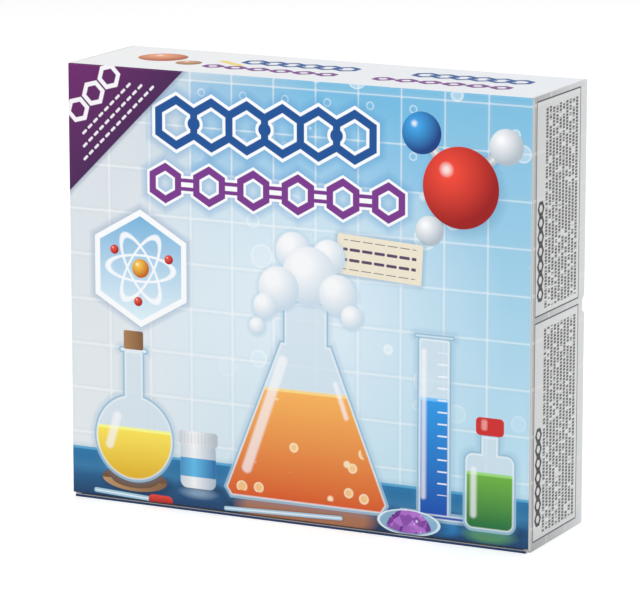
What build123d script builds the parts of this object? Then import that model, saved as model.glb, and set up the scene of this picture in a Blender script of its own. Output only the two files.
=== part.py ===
"""A chemistry set case: a folding corrugated carton with a hinged lid, and the kit that lies in its tray.

The case stands on its long narrow side. +Z is up, +Y points from the lid to the back panel, and the
origin is the middle of the footprint. Lengths are in millimetres.
"""

import math
import os

from build123d import *

# ---------------------------------------------------------------- driving sizes: the carton
CASE_WIDTH = 340.0
CASE_HEIGHT = 300.0
CASE_DEPTH = 90.0
BOARD = 1.6  # E-flute corrugated board
FOLD_RADIUS = 1.1  # outer rounding of a creased edge
LID_GAP = 0.2  # lid to the side walls' folded edges
SLIP_GAP = 1.05  # tuck flap over the wall that it slides on
TUCK_DEPTH = 42.0
TUCK_END_GAP = 1.0
CORNER_FLAP_LENGTH = 62.0
LOCK_TAB_WIDTH = 12.4
LOCK_SLOT_GAP = 0.3
LOCK_NOTCH_DEPTH = 4.2
LOCK_NOTCH_TOP = 7.6

# ---------------------------------------------------------------- driving sizes: the tray and booklet
SEAT = 0.3  # how far a loose piece lies from what carries it
TRAY_SKIN = 0.8
TRAY_CLEARANCE = 1.2  # tray to the carton at the sides and top
TRAY_RECESS = 2.4  # deck behind the lid
TRAY_RADIUS = 4.0
POCKET_SLACK = 1.6  # free room round a piece in its pocket
POCKET_RADIUS = 5.0
POCKET_DRAFT = 2.0  # degrees
BOOKLET_WIDTH = 148.0
BOOKLET_HEIGHT = 210.0
PAGES_THICKNESS = 2.6
COVER_THICKNESS = 0.4

# ---------------------------------------------------------------- driving sizes: the kit
TUBE_COUNT = 3
TUBE_RADIUS = 8.0
TUBE_LENGTH = 98.0
TUBE_WALL = 1.0
TUBE_RIM = 0.8
STOPPER_RADIUS = 9.4
STOPPER_HEIGHT = 11.5
STOPPER_CUP_RADIUS = 6.6
STOPPER_CUP_DEPTH = 7.0
PLUG_LENGTH = 8.0
PLUG_FIT = 0.08
STOPPER_SEAT = 0.1
STOPPER_TRAVEL = 12.0
TUBE_PITCH = 34.0
RACK_END = 23.0  # an outer tube's axis to the rack's end
RACK_DEPTH = 34.0
RACK_HEIGHT = 58.0
RACK_BASE = 10.0
RACK_SHELF = 8.0
RACK_LEG = 6.0
RACK_CUP_DEPTH = 4.0
RACK_HOLE_GAP = 0.6

BEAKER_RADIUS = 26.0
BEAKER_HEIGHT = 64.0
BEAKER_WALL = 1.6
BEAKER_RIM = 1.6
LIP_RADIUS = 5.0
LIP_LENGTH = 9.0
LIP_TAPER = 20.0  # degrees

DISH_RADIUS = 29.0
DISH_HEIGHT = 12.0
DISH_WALL = 1.4
DISH_GAP = 0.5
DISH_RIM_SEAT = 0.1
DISH_LID_HEIGHT = 9.0
DISH_LIFT = 13.0

POT_RADIUS = 19.0
POT_HEIGHT = 40.0
POT_WALL = 1.6
POT_NECK_RADIUS = 16.6
POT_NECK_HEIGHT = 9.0
CAP_RADIUS = 19.6
CAP_HEIGHT = 14.0
CAP_GAP = 0.3
CAP_SEAT = 0.3
CAP_RIBS = 30
CAP_RIB_DEPTH = 0.5

BARREL_RADIUS = 10.6
BARREL_LENGTH = 84.0
BARREL_WALL = 1.1
BARREL_END = 2.0
NOZZLE_RADIUS = 2.6
NOZZLE_BORE = 1.1
NOZZLE_LENGTH = 9.0
FLANGE_WIDTH = 34.0
FLANGE_THICKNESS = 2.4
FLANGE_CORNER = 6.0
SEAL_LENGTH = 7.0
SEAL_FIT = 0.08
ROD_RADIUS = 7.0
ROD_WEB = 1.8
THUMB_RADIUS = 9.0
THUMB_THICKNESS = 2.4
THUMB_STANDOFF = 8.0
PLUNGER_TRAVEL = 52.0

TWEEZERS_LENGTH = 112.0
TWEEZERS_WIDTH = 9.0
TWEEZERS_TIP = 3.0
TWEEZERS_ARM = 1.6
TWEEZERS_GAP = 0.3  # half the gap between closed arms
TWEEZERS_HALF_ANGLE = 2.2  # degrees
TWEEZERS_EYE = 5.0
TWEEZERS_FLANGE = 2.6
TWEEZERS_PIVOT_RADIUS = 2.8
TWEEZERS_SPAN = 13.0
PIVOT_FIT = 0.08

SPOON_LENGTH = 112.0
SPOON_WIDTH = 5.0
SPOON_THICKNESS = 2.0
SPOON_BOWL_RADIUS = 8.0
SPOON_BOWL_WALL = 1.0

PIPETTE_LENGTH = 112.0
PIPETTE_BULB_RADIUS = 6.5
PIPETTE_BULB_LENGTH = 38.0
PIPETTE_STEM_RADIUS = 3.0
PIPETTE_TIP_RADIUS = 1.4
PIPETTE_WALL = 0.7

STRAW_LENGTH = 112.0
STRAW_RADIUS = 2.8
STRAW_WALL = 0.3

GOGGLES_WIDTH = 150.0
GOGGLES_HEIGHT = 70.0
GOGGLES_DEPTH = 36.0
GOGGLES_WALL = 3.0
GOGGLES_BROW_RADIUS = 20.0
NOSE_WIDTH = 46.0
NOSE_HEIGHT = 24.0
GOGGLES_CURVE = 9.0
LENS_THICKNESS = 1.8
LENS_GAP = 0.1
LUG_DEPTH = 4.0
LUG_LENGTH = 10.0
LUG_BACK = 2.0
STRAP_WIDTH = 20.0
STRAP_THICKNESS = 1.6
STRAP_BACK_GAP = 12.0
STRAP_BEND = 6.0
VENT_COUNT = 5
VENT_PITCH = 20.0
VENT_RADIUS = 2.0

BALLOON_LENGTH = 62.0
BALLOON_RADIUS = 17.0
BALLOON_NECK = 9.0
BALLOON_THICKNESS = 2.4
BALLOON_POCKET = 14.0

FUNNEL_RADIUS = 20.0
FUNNEL_HEIGHT = 44.0
FUNNEL_STEM_RADIUS = 3.6
FUNNEL_STEM_LENGTH = 20.0
FUNNEL_WALL = 1.4

# ---------------------------------------------------------------- places worked out from the sizes
FRONT = -CASE_DEPTH / 2
BACK = CASE_DEPTH / 2
SIDE = CASE_WIDTH / 2
SIDE_WALL = 3 * BOARD  # outer wall, corner flap and liner
LID_BOTTOM = BOARD + SLIP_GAP
LID_INNER = FRONT + BOARD
WALL_FRONT = LID_INNER + LID_GAP
BACK_INNER = BACK - BOARD
TOP_INNER = CASE_HEIGHT - BOARD
TUCK_TOP = LID_BOTTOM + BOARD

DECK_FRONT = LID_INNER + TRAY_RECESS
TRAY_WIDTH = CASE_WIDTH - 2 * (SIDE_WALL + TRAY_CLEARANCE)
TRAY_BOTTOM = TUCK_TOP + SEAT
TRAY_TOP = TOP_INNER - TRAY_CLEARANCE
BOOKLET_THICKNESS = PAGES_THICKNESS + 2 * COVER_THICKNESS
BOOKLET_BACK = BACK_INNER - SEAT
TRAY_BACK = BOOKLET_BACK - BOOKLET_THICKNESS - SEAT

X_AXIS = Vector(1, 0, 0)
UP = Vector(0, 0, 1)
TO_LID = Vector(0, -1, 0)


def profile_plane(origin, axis, radial):
    """A plane whose local X is the radius and whose local Y is the axis of a turned piece."""
    return Plane(origin=origin, x_dir=radial, z_dir=Vector(radial).cross(Vector(axis)))


def save(part, name):
    """Labels one finished piece and writes its file."""
    part.label = name
    export_step(part, f"parts/{name}.step")


def panel(x, y, z):
    """A flat board between two limits along each axis, given as pairs."""
    with BuildPart() as board:
        with BuildSketch(Plane.XY.offset(z[0])):
            with Locations(((x[0] + x[1]) / 2, (y[0] + y[1]) / 2)):
                Rectangle(x[1] - x[0], y[1] - y[0])
        extrude(amount=z[1] - z[0])
    return board.part


# ================================================================ the carton
def base_panel():
    """The back panel, with a slot at mid height in each side edge for the liners' lock tabs."""
    half = SIDE - BOARD
    slot_inner = SIDE - SIDE_WALL - LOCK_SLOT_GAP
    with BuildPart() as base:
        add(panel((-half, half), (BACK_INNER, BACK), (0, CASE_HEIGHT)))
        with BuildSketch(Plane.XZ.offset(-BACK)):
            for side in (-1, 1):
                with Locations((side * (slot_inner + half) / 2, CASE_HEIGHT / 2)):
                    Rectangle(half - slot_inner, LOCK_TAB_WIDTH + 2 * LOCK_SLOT_GAP)
        extrude(amount=BOARD, mode=Mode.SUBTRACT)
        outer = base.edges().filter_by(Axis.X).group_by(Axis.Y)[-1]
        fillet([e for e in outer if e.length > CASE_WIDTH / 2], FOLD_RADIUS)
    return base.part


def hinge_wall():
    """The top wall, which carries the lid's crease along its front edge."""
    half = SIDE - BOARD
    return panel((-half, half), (LID_INNER, BACK_INNER), (TOP_INNER, CASE_HEIGHT))


def front_wall():
    """The bottom wall that the tuck flap slides over. The case stands on it."""
    half = SIDE - BOARD
    return panel((-half, half), (FRONT, BACK_INNER), (0, BOARD))


def side_wall(side):
    """An outer side wall, with a half-hexagon notch at its back edge over the lock tab."""
    slot = LOCK_TAB_WIDTH / 2 + LOCK_SLOT_GAP
    middle = CASE_HEIGHT / 2
    near, far = sorted((side * (SIDE - BOARD), side * SIDE))
    with BuildPart() as wall:
        add(panel((near, far), (WALL_FRONT + BOARD, BACK), (0, CASE_HEIGHT)))
        with BuildSketch(Plane.YZ.offset(near)):
            with BuildLine():
                Polyline(
                    (BACK + BOARD, middle - slot),
                    (BACK, middle - slot),
                    (BACK - LOCK_NOTCH_DEPTH, middle - LOCK_NOTCH_TOP / 2),
                    (BACK - LOCK_NOTCH_DEPTH, middle + LOCK_NOTCH_TOP / 2),
                    (BACK, middle + slot),
                    (BACK + BOARD, middle + slot),
                    close=True,
                )
            make_face()
        extrude(amount=BOARD, mode=Mode.SUBTRACT)
        upright = wall.edges().filter_by(Axis.Z).group_by(Axis.Y)[-1]
        fillet([e for e in upright if abs(e.center().X) > SIDE - BOARD / 2], FOLD_RADIUS)
    return wall.part


def side_liner(side):
    """The roll-over half of a side wall: its folded front edge, the inner wall and the lock tab."""
    low, high = BOARD, TOP_INNER
    inner = sorted((side * (SIDE - SIDE_WALL), side * (SIDE - SIDE_WALL + BOARD)))
    cap = sorted((side * (SIDE - SIDE_WALL), side * SIDE))
    middle, half_tab = CASE_HEIGHT / 2, LOCK_TAB_WIDTH / 2
    with BuildPart() as liner:
        add(panel(inner, (WALL_FRONT, BACK_INNER), (low, high)))
        add(panel(cap, (WALL_FRONT, WALL_FRONT + BOARD), (low, high)))
        add(panel(inner, (BACK_INNER, BACK), (middle - half_tab, middle + half_tab)))
        rolled = liner.edges().filter_by(Axis.Z).group_by(Axis.Y)[0]
        fillet(rolled, FOLD_RADIUS)
    return liner.part


def corner_flaps(z_low, z_high):
    """The pair of glued-in flaps that close one end's corners, between outer walls and liners."""
    y = (WALL_FRONT + BOARD + LOCK_SLOT_GAP, BACK_INNER - LOCK_SLOT_GAP)
    with BuildPart() as flaps:
        for side in (-1, 1):
            x = sorted((side * (SIDE - BOARD), side * (SIDE - 2 * BOARD)))
            add(panel(x, y, (z_low, z_high)))
            outline = flaps.faces().sort_by(Axis.X)[-1 if side > 0 else 0]
            free_z = z_high if z_low < CASE_HEIGHT / 2 else z_low
            corners = [e for e in flaps.edges().filter_by(Axis.X) if abs(e.center().Z - free_z) < BOARD]
            chamfer([e for e in corners if abs(e.center().X - outline.center().X) < BOARD], LOCK_TAB_WIDTH)
    return flaps.part


def lid_panel():
    """The front of the case, hinged along its top edge."""
    with BuildPart() as lid:
        add(panel((-SIDE, SIDE), (FRONT, LID_INNER), (LID_BOTTOM, CASE_HEIGHT)))
        creased = lid.edges().filter_by(Axis.X).group_by(Axis.Y)[0]
        fillet(creased, FOLD_RADIUS)
    return lid.part


def tuck_flap():
    """The lid's flap, which slides in over the bottom wall. Its free corners are rounded."""
    half = SIDE - SIDE_WALL - TUCK_END_GAP
    with BuildPart() as flap:
        add(panel((-half, half), (LID_INNER, LID_INNER + TUCK_DEPTH), (LID_BOTTOM, TUCK_TOP)))
        fillet(flap.edges().filter_by(Axis.Z).group_by(Axis.Y)[-1], TUCK_DEPTH / 2)
    return flap.part


# ================================================================ the tray's layout
# A pocket is (centre x, centre z, width, height, depth) at its floor. Pockets in a row share the
# width that is left over, and rows share the height.
RACK_WIDTH = (TUBE_COUNT - 1) * TUBE_PITCH + 2 * RACK_END
TUBE_BASE = RACK_BASE - RACK_CUP_DEPTH + SEAT
RACK_STACK = TUBE_BASE + TUBE_LENGTH + STOPPER_SEAT + STOPPER_HEIGHT + STOPPER_TRAVEL
SYRINGE_LENGTH = (
    NOZZLE_LENGTH + BARREL_LENGTH + THUMB_STANDOFF + THUMB_THICKNESS + PLUNGER_TRAVEL
)
GOGGLES_SPAN = GOGGLES_WIDTH + 2 * LUG_DEPTH
GOGGLES_REACH = GOGGLES_DEPTH + STRAP_BACK_GAP + STRAP_THICKNESS
DISH_OUTER = DISH_RADIUS + DISH_GAP + DISH_WALL
POT_STACK = POT_HEIGHT + CAP_SEAT + CAP_HEIGHT
TOOL_REACH = 2 * PIPETTE_BULB_RADIUS
FLARE = math.tan(math.radians(POCKET_DRAFT))

SIZES = {
    "goggles": (GOGGLES_SPAN, GOGGLES_HEIGHT, GOGGLES_REACH),
    "beaker": (2 * BEAKER_RADIUS + 2 * BEAKER_RIM, 0, BEAKER_HEIGHT),
    "dish": (2 * DISH_OUTER, 0, DISH_HEIGHT + DISH_GAP + DISH_WALL + DISH_LIFT),
    "rack": (RACK_WIDTH, RACK_STACK, RACK_DEPTH),
    "white_pot": (2 * CAP_RADIUS, 0, POT_STACK),
    "red_pot": (2 * CAP_RADIUS, 0, POT_STACK),
    "blue_pot": (2 * CAP_RADIUS, 0, POT_STACK),
    "funnel": (2 * FUNNEL_RADIUS, 0, FUNNEL_HEIGHT),
    "tweezers": (TWEEZERS_SPAN, TWEEZERS_LENGTH, TOOL_REACH),
    "spoon": (2 * SPOON_BOWL_RADIUS, SPOON_LENGTH, TOOL_REACH),
    "pipette": (2 * PIPETTE_BULB_RADIUS, PIPETTE_LENGTH, TOOL_REACH),
    "straw": (2 * STRAW_RADIUS, STRAW_LENGTH, TOOL_REACH),
    "syringe": (SYRINGE_LENGTH, 2 * BARREL_RADIUS, FLANGE_WIDTH),
    "balloon": (BALLOON_LENGTH, 2 * BALLOON_RADIUS, BALLOON_POCKET),
}
ROWS = (
    (("syringe",), ("balloon",)),
    (("rack",), ("white_pot", "red_pot"), ("blue_pot", "funnel"), ("tweezers",), ("spoon",), ("pipette",), ("straw",)),
    (("goggles",), ("beaker",), ("dish",)),
)


def floor_size(name):
    """A pocket's width, height and depth: its contents and the free room round them."""
    width, height, depth = SIZES[name]
    return width + POCKET_SLACK, (height or width) + POCKET_SLACK, depth + SEAT


def mouth_size(name):
    """The same pocket's width and height where it meets the deck."""
    width, height, depth = floor_size(name)
    return width + 2 * depth * FLARE, height + 2 * depth * FLARE


def spread(low, high, lengths):
    """Centres of pieces of these lengths laid from low to high with equal gaps."""
    gap = (high - low - sum(lengths)) / (len(lengths) + 1)
    centres, at = [], low
    for length in lengths:
        centres.append(at + gap + length / 2)
        at += gap + length
    return centres


def lay_out():
    """Centres every pocket: columns of one or two pockets, within rows."""
    heights = [max(sum(mouth_size(n)[1] for n in column) for column in line) for line in ROWS]
    middles = spread(TRAY_BOTTOM, TRAY_TOP, heights)
    centres = {}
    for line, height, middle in zip(ROWS, heights, middles):
        widths = [max(mouth_size(n)[0] for n in column) for column in line]
        for column, x in zip(line, spread(-TRAY_WIDTH / 2, TRAY_WIDTH / 2, widths)):
            if len(column) == 1:
                centres[column[0]] = (x, middle)
                continue
            quarter = height / 4 + SEAT
            centres[column[0]] = (x, middle + quarter)
            centres[column[1]] = (x, middle - quarter)
    return centres


CENTRES = lay_out()


def rest_place(name):
    """The pocket's middle x, the height of its contents' underside and the y of their back."""
    x, z = CENTRES[name]
    _, height, depth = floor_size(name)
    return x, z - height / 2 + SEAT, DECK_FRONT + depth - SEAT


def pocket_solid(name, skin):
    """A pocket's drafted shape, grown by skin: nothing for the hollow, a thickness for its outside."""
    x, z = CENTRES[name]
    width, height, depth = floor_size(name)
    wide, high = mouth_size(name)
    is_round = SIZES[name][1] == 0
    with BuildPart() as pocket:
        for y, w, h in ((DECK_FRONT, wide, high), (DECK_FRONT + depth + skin, width, height)):
            with BuildSketch(Plane.XZ.offset(-y)):
                with Locations((x, z)):
                    if is_round:
                        Circle(w / 2 + skin)
                    else:
                        corner = min(POCKET_RADIUS, w / 6, h / 6)
                        RectangleRounded(w + 2 * skin, h + 2 * skin, corner + skin)
        loft()
    return pocket.part


def insert_tray():
    """The thermoformed tray: a deck with a skirt that stands on the tuck flap, and a drafted pocket for each piece of the kit."""
    half = TRAY_WIDTH / 2
    with BuildPart() as tray:
        add(panel((-half, half), (DECK_FRONT, TRAY_BACK), (TRAY_BOTTOM, TRAY_TOP)))
        upright = tray.edges().filter_by(Axis.Y)
        fillet([e for e in upright if e.center().Z > CASE_HEIGHT / 2], TRAY_RADIUS)
        front = tray.faces().filter_by(Axis.Y).sort_by(Axis.Y)[0]
        fillet(front.edges(), TRAY_SKIN * 2)
        add(
            panel(
                (TRAY_SKIN - half, half - TRAY_SKIN),
                (DECK_FRONT + TRAY_SKIN, TRAY_BACK),
                (TRAY_BOTTOM + TRAY_SKIN, TRAY_TOP - TRAY_SKIN),
            ),
            mode=Mode.SUBTRACT,
        )
        for name in CENTRES:
            add(pocket_solid(name, TRAY_SKIN))
        for name in CENTRES:
            add(pocket_solid(name, 0), mode=Mode.SUBTRACT)
    return tray.part


def booklet_cover():
    """The instruction book's cover, folded round its pages with the fold to the left."""
    low = BOARD + SEAT
    half = BOOKLET_WIDTH / 2
    with BuildPart() as cover:
        add(panel((-half, half), (BOOKLET_BACK - BOOKLET_THICKNESS, BOOKLET_BACK), (low, low + BOOKLET_HEIGHT)))
        fold = cover.edges().filter_by(Axis.Z).group_by(Axis.X)[0]
        fillet(fold, BOOKLET_THICKNESS / 2 - 0.1)
        add(
            panel(
                (2 * COVER_THICKNESS - half, half),
                (BOOKLET_BACK - BOOKLET_THICKNESS + COVER_THICKNESS, BOOKLET_BACK - COVER_THICKNESS),
                (low, low + BOOKLET_HEIGHT),
            ),
            mode=Mode.SUBTRACT,
        )
    return cover.part


def booklet_pages():
    """The book's pages, trimmed a little short of the cover."""
    low = BOARD + SEAT + 1
    half = BOOKLET_WIDTH / 2
    slip = 0.05
    return panel(
        (2 * COVER_THICKNESS + slip - half, half - 1),
        (BOOKLET_BACK - COVER_THICKNESS - PAGES_THICKNESS + slip, BOOKLET_BACK - COVER_THICKNESS - slip),
        (low, low + BOOKLET_HEIGHT - 2),
    )


# ================================================================ tubes, stoppers and rack
def tube_places():
    """The foot of each tube's axis, from the left."""
    x, z, back = rest_place("rack")
    start = x - (TUBE_COUNT - 1) * TUBE_PITCH / 2
    return [Vector(start + i * TUBE_PITCH, back - RACK_DEPTH / 2, z + TUBE_BASE) for i in range(TUBE_COUNT)]


def tube_rack():
    """A one-piece rack: a base with cups, two end walls and a drilled shelf."""
    x, z, back = rest_place("rack")
    hole = TUBE_RADIUS + RACK_HOLE_GAP
    half = RACK_WIDTH / 2
    with BuildPart() as rack:
        with BuildSketch(Plane.XZ.offset(-back)):
            with Locations((x, z + RACK_HEIGHT / 2)):
                RectangleRounded(RACK_WIDTH, RACK_HEIGHT, RACK_LEG / 2)
            with Locations((x, z + (RACK_BASE + RACK_HEIGHT - RACK_SHELF) / 2)):
                RectangleRounded(
                    RACK_WIDTH - 2 * RACK_LEG, RACK_HEIGHT - RACK_SHELF - RACK_BASE, RACK_LEG / 2, mode=Mode.SUBTRACT
                )
        extrude(amount=RACK_DEPTH)
        for foot in tube_places():
            with BuildSketch(Plane(origin=foot - Vector(0, 0, SEAT))):
                Circle(hole)
            extrude(amount=RACK_HEIGHT, mode=Mode.SUBTRACT)
        with Locations((x, back - RACK_DEPTH / 2, z)):
            Box(half, RACK_DEPTH / 2, RACK_CUP_DEPTH, mode=Mode.SUBTRACT)
        fillet(rack.edges().filter_by(Axis.X).group_by(Axis.Z)[-1], 1.2)
    return rack.part


def test_tube(foot):
    """A round-bottomed tube with a beaded rim."""
    inner = TUBE_RADIUS - TUBE_WALL
    with BuildPart() as tube:
        with BuildSketch(profile_plane(foot, UP, X_AXIS)):
            with BuildLine():
                CenterArc((0, TUBE_RADIUS), TUBE_RADIUS, -90, 90)
                Polyline(
                    (TUBE_RADIUS, TUBE_RADIUS),
                    (TUBE_RADIUS, TUBE_LENGTH - 2.4),
                    (TUBE_RADIUS + TUBE_RIM, TUBE_LENGTH - 1.6),
                    (TUBE_RADIUS + TUBE_RIM, TUBE_LENGTH),
                    (inner, TUBE_LENGTH),
                    (inner, TUBE_RADIUS),
                )
                CenterArc((0, TUBE_RADIUS), inner, 0, -90)
                Line((0, TUBE_WALL), (0, 0))
            make_face()
        revolve(axis=Axis(foot, UP))
    return tube.part


def stopper(foot):
    """A rubber stopper: a plug in the tube's mouth under a wide head with a cup in its top."""
    plug = TUBE_RADIUS - TUBE_WALL - PLUG_FIT
    base = TUBE_LENGTH + STOPPER_SEAT
    with BuildPart() as bung:
        with BuildSketch(profile_plane(foot, UP, X_AXIS)):
            with BuildLine():
                Polyline(
                    (0, base - PLUG_LENGTH),
                    (plug - 0.8, base - PLUG_LENGTH),
                    (plug, base - PLUG_LENGTH + 1.2),
                    (plug, base),
                    (STOPPER_RADIUS, base),
                    (STOPPER_RADIUS - 0.5, base + STOPPER_HEIGHT - 0.8),
                    (STOPPER_RADIUS - 1.3, base + STOPPER_HEIGHT),
                    (STOPPER_CUP_RADIUS, base + STOPPER_HEIGHT),
                    (STOPPER_CUP_RADIUS, base + STOPPER_HEIGHT - STOPPER_CUP_DEPTH),
                    (0, base + STOPPER_HEIGHT - STOPPER_CUP_DEPTH),
                    close=True,
                )
            make_face()
        revolve(axis=Axis(foot, UP))
    return bung.part


# ================================================================ beaker, dish, pots and funnel
def turned(points, foot):
    """A piece turned about the line from foot toward the lid, from (radius, distance) corners."""
    with BuildPart() as piece:
        with BuildSketch(profile_plane(foot, TO_LID, X_AXIS)):
            with BuildLine():
                Polyline(*points, close=True)
            make_face()
        revolve(axis=Axis(foot, TO_LID))
    return piece.part


def upright_foot(name):
    """Where the axis of a round piece meets its back, with the piece resting in its pocket."""
    x, z, back = rest_place(name)
    return Vector(x, back, z + SIZES[name][0] / 2)


def beaker():
    """A small beaker with a rolled rim and a pouring lip on one side."""
    foot = upright_foot("beaker")
    wall, lip = BEAKER_WALL, BEAKER_RIM
    inner = BEAKER_RADIUS - wall
    with BuildPart() as cup:
        add(
            turned(
                (
                    (0, 0),
                    (BEAKER_RADIUS - 3, 0),
                    (BEAKER_RADIUS, 3),
                    (BEAKER_RADIUS, BEAKER_HEIGHT - 4),
                    (BEAKER_RADIUS + lip, BEAKER_HEIGHT - 2.4),
                    (BEAKER_RADIUS + lip, BEAKER_HEIGHT),
                    (0, BEAKER_HEIGHT),
                ),
                foot,
            )
        )
        mouth = Plane(origin=foot + TO_LID * BEAKER_HEIGHT, x_dir=X_AXIS, z_dir=TO_LID)
        with BuildSketch(mouth):
            with Locations((0, inner)):
                Circle(LIP_RADIUS)
        extrude(amount=-LIP_LENGTH, taper=LIP_TAPER)
        add(turned(((0, wall), (inner - 2, wall), (inner, wall + 2), (inner, BEAKER_HEIGHT), (0, BEAKER_HEIGHT)), foot), mode=Mode.SUBTRACT)
        with BuildSketch(mouth):
            with Locations((0, inner)):
                Circle(LIP_RADIUS - wall)
        extrude(amount=-LIP_LENGTH + 3 * wall, taper=LIP_TAPER, mode=Mode.SUBTRACT)
    return cup.part


def petri_dish():
    """The dish's lower half."""
    wall, r, h = DISH_WALL, DISH_RADIUS, DISH_HEIGHT
    return turned(((0, 0), (r, 0), (r, h), (r - wall, h), (r - wall, wall), (0, wall)), upright_foot("dish"))


def petri_lid():
    """The dish's lid, which sits over the lower half and lifts straight off."""
    top = DISH_HEIGHT + DISH_RIM_SEAT
    inner, low = DISH_RADIUS + DISH_GAP, top - DISH_LID_HEIGHT
    return turned(
        ((0, top), (inner, top), (inner, low), (DISH_OUTER, low), (DISH_OUTER, top + DISH_WALL), (0, top + DISH_WALL)),
        upright_foot("dish"),
    )


def pot(name):
    """A pot for powders, with a neck for its screw cap."""
    r, neck, wall = POT_RADIUS, POT_NECK_RADIUS, POT_WALL
    top = POT_HEIGHT + POT_NECK_HEIGHT
    return turned(
        (
            (0, 0),
            (r - 1.5, 0),
            (r, 1.5),
            (r, POT_HEIGHT - 1),
            (r - 1, POT_HEIGHT),
            (neck, POT_HEIGHT),
            (neck, top),
            (neck - wall, top),
            (neck - wall, POT_HEIGHT - 2),
            (r - wall, POT_HEIGHT - 4),
            (r - wall, wall),
            (0, wall),
        ),
        upright_foot(name),
    )


def pot_cap(name):
    """A screw cap with a ribbed side."""
    foot = upright_foot(name)
    low = POT_HEIGHT + CAP_SEAT
    top = low + CAP_HEIGHT
    r, inner = CAP_RADIUS, POT_NECK_RADIUS + CAP_GAP
    inside = POT_HEIGHT + POT_NECK_HEIGHT + CAP_SEAT
    with BuildPart() as cap:
        add(turned(((0, inside), (inner, inside), (inner, low), (r, low), (r, top - 1.2), (r - 1.2, top), (0, top)), foot))
        with BuildSketch(Plane(origin=foot + TO_LID * low, x_dir=X_AXIS, z_dir=TO_LID)):
            with PolarLocations(r + CAP_RIB_DEPTH, CAP_RIBS):
                Circle(2 * CAP_RIB_DEPTH)
        extrude(amount=CAP_HEIGHT - 2.5, mode=Mode.SUBTRACT)
    return cap.part


def funnel():
    """A funnel lying with its mouth toward the lid."""
    r, stem, wall = FUNNEL_RADIUS, FUNNEL_STEM_RADIUS, FUNNEL_WALL
    shoulder, height = FUNNEL_STEM_LENGTH, FUNNEL_HEIGHT
    return turned(
        (
            (stem - 0.8, 0),
            (stem, shoulder),
            (r - 1, height - 4),
            (r, height - 3),
            (r, height),
            (r - 1 - wall, height),
            (r - 1 - wall, height - 3.6),
            (stem - wall, shoulder + 0.6),
            (stem - 0.8 - wall, 0),
        ),
        upright_foot("funnel"),
    )


# ================================================================ syringe
def syringe_axis():
    """The nozzle's end of the syringe's axis, which runs toward +X."""
    x, z, back = rest_place("syringe")
    return Vector(x - SYRINGE_LENGTH / 2, back - FLANGE_WIDTH / 2, z + BARREL_RADIUS)


def along_syringe(points):
    """A piece turned about the syringe's axis from (radius, distance) corners."""
    start = syringe_axis()
    with BuildPart() as piece:
        with BuildSketch(profile_plane(start, X_AXIS, UP)):
            with BuildLine():
                Polyline(*points, close=True)
            make_face()
        revolve(axis=Axis(start, X_AXIS))
    return piece.part


def syringe_barrel():
    """The clear barrel, with a nozzle at one end and a finger flange at the other."""
    bore = BARREL_RADIUS - BARREL_WALL
    foot, end = NOZZLE_LENGTH, NOZZLE_LENGTH + BARREL_LENGTH
    with BuildPart() as barrel:
        add(
            along_syringe(
                (
                    (0, 0),
                    (NOZZLE_RADIUS - 0.4, 0),
                    (NOZZLE_RADIUS, foot),
                    (BARREL_RADIUS - 1, foot),
                    (BARREL_RADIUS, foot + 1),
                    (BARREL_RADIUS, end),
                    (0, end),
                )
            )
        )
        with BuildSketch(Plane(origin=syringe_axis() + X_AXIS * end, x_dir=UP, z_dir=X_AXIS)):
            RectangleRounded(2 * BARREL_RADIUS, FLANGE_WIDTH, FLANGE_CORNER)
        extrude(amount=-FLANGE_THICKNESS)
        hollow = ((0, foot + BARREL_END), (bore, foot + BARREL_END), (bore, end), (0, end))
        add(along_syringe(hollow), mode=Mode.SUBTRACT)
        channel = ((0, 0), (NOZZLE_BORE, 0), (NOZZLE_BORE, foot + BARREL_END), (0, foot + BARREL_END))
        add(along_syringe(channel), mode=Mode.SUBTRACT)
    return barrel.part


def plunger_seal():
    """The rubber seal on the plunger's end."""
    r = BARREL_RADIUS - BARREL_WALL - SEAL_FIT
    low = NOZZLE_LENGTH + BARREL_END + SEAT
    high = low + SEAL_LENGTH
    return along_syringe(
        (
            (0, low),
            (r - 1, low),
            (r, low + 1),
            (r, low + 2.2),
            (r - 1, low + 2.8),
            (r - 1, high - 2.8),
            (r, high - 2.2),
            (r, high),
            (0, high),
        )
    )


def syringe_plunger():
    """The plunger's rod, cross-shaped in section, with a thumb plate."""
    low = NOZZLE_LENGTH + BARREL_END + SEAT + SEAL_LENGTH + 0.05
    high = NOZZLE_LENGTH + BARREL_LENGTH + THUMB_STANDOFF
    start = syringe_axis()
    with BuildPart() as plunger:
        with BuildSketch(Plane(origin=start + X_AXIS * low, x_dir=UP, z_dir=X_AXIS)):
            Rectangle(2 * ROD_RADIUS, ROD_WEB)
            Rectangle(ROD_WEB, 2 * ROD_RADIUS)
        extrude(amount=high - low)
        with BuildSketch(Plane(origin=start + X_AXIS * low, x_dir=UP, z_dir=X_AXIS)):
            Circle(ROD_RADIUS)
        extrude(amount=2)
        with BuildSketch(Plane(origin=start + X_AXIS * high, x_dir=UP, z_dir=X_AXIS)):
            Circle(THUMB_RADIUS)
        extrude(amount=THUMB_THICKNESS)
        rim = plunger.faces().sort_by(Axis.X)[-1].edges()
        fillet(rim, 0.8)
    return plunger.part


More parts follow.
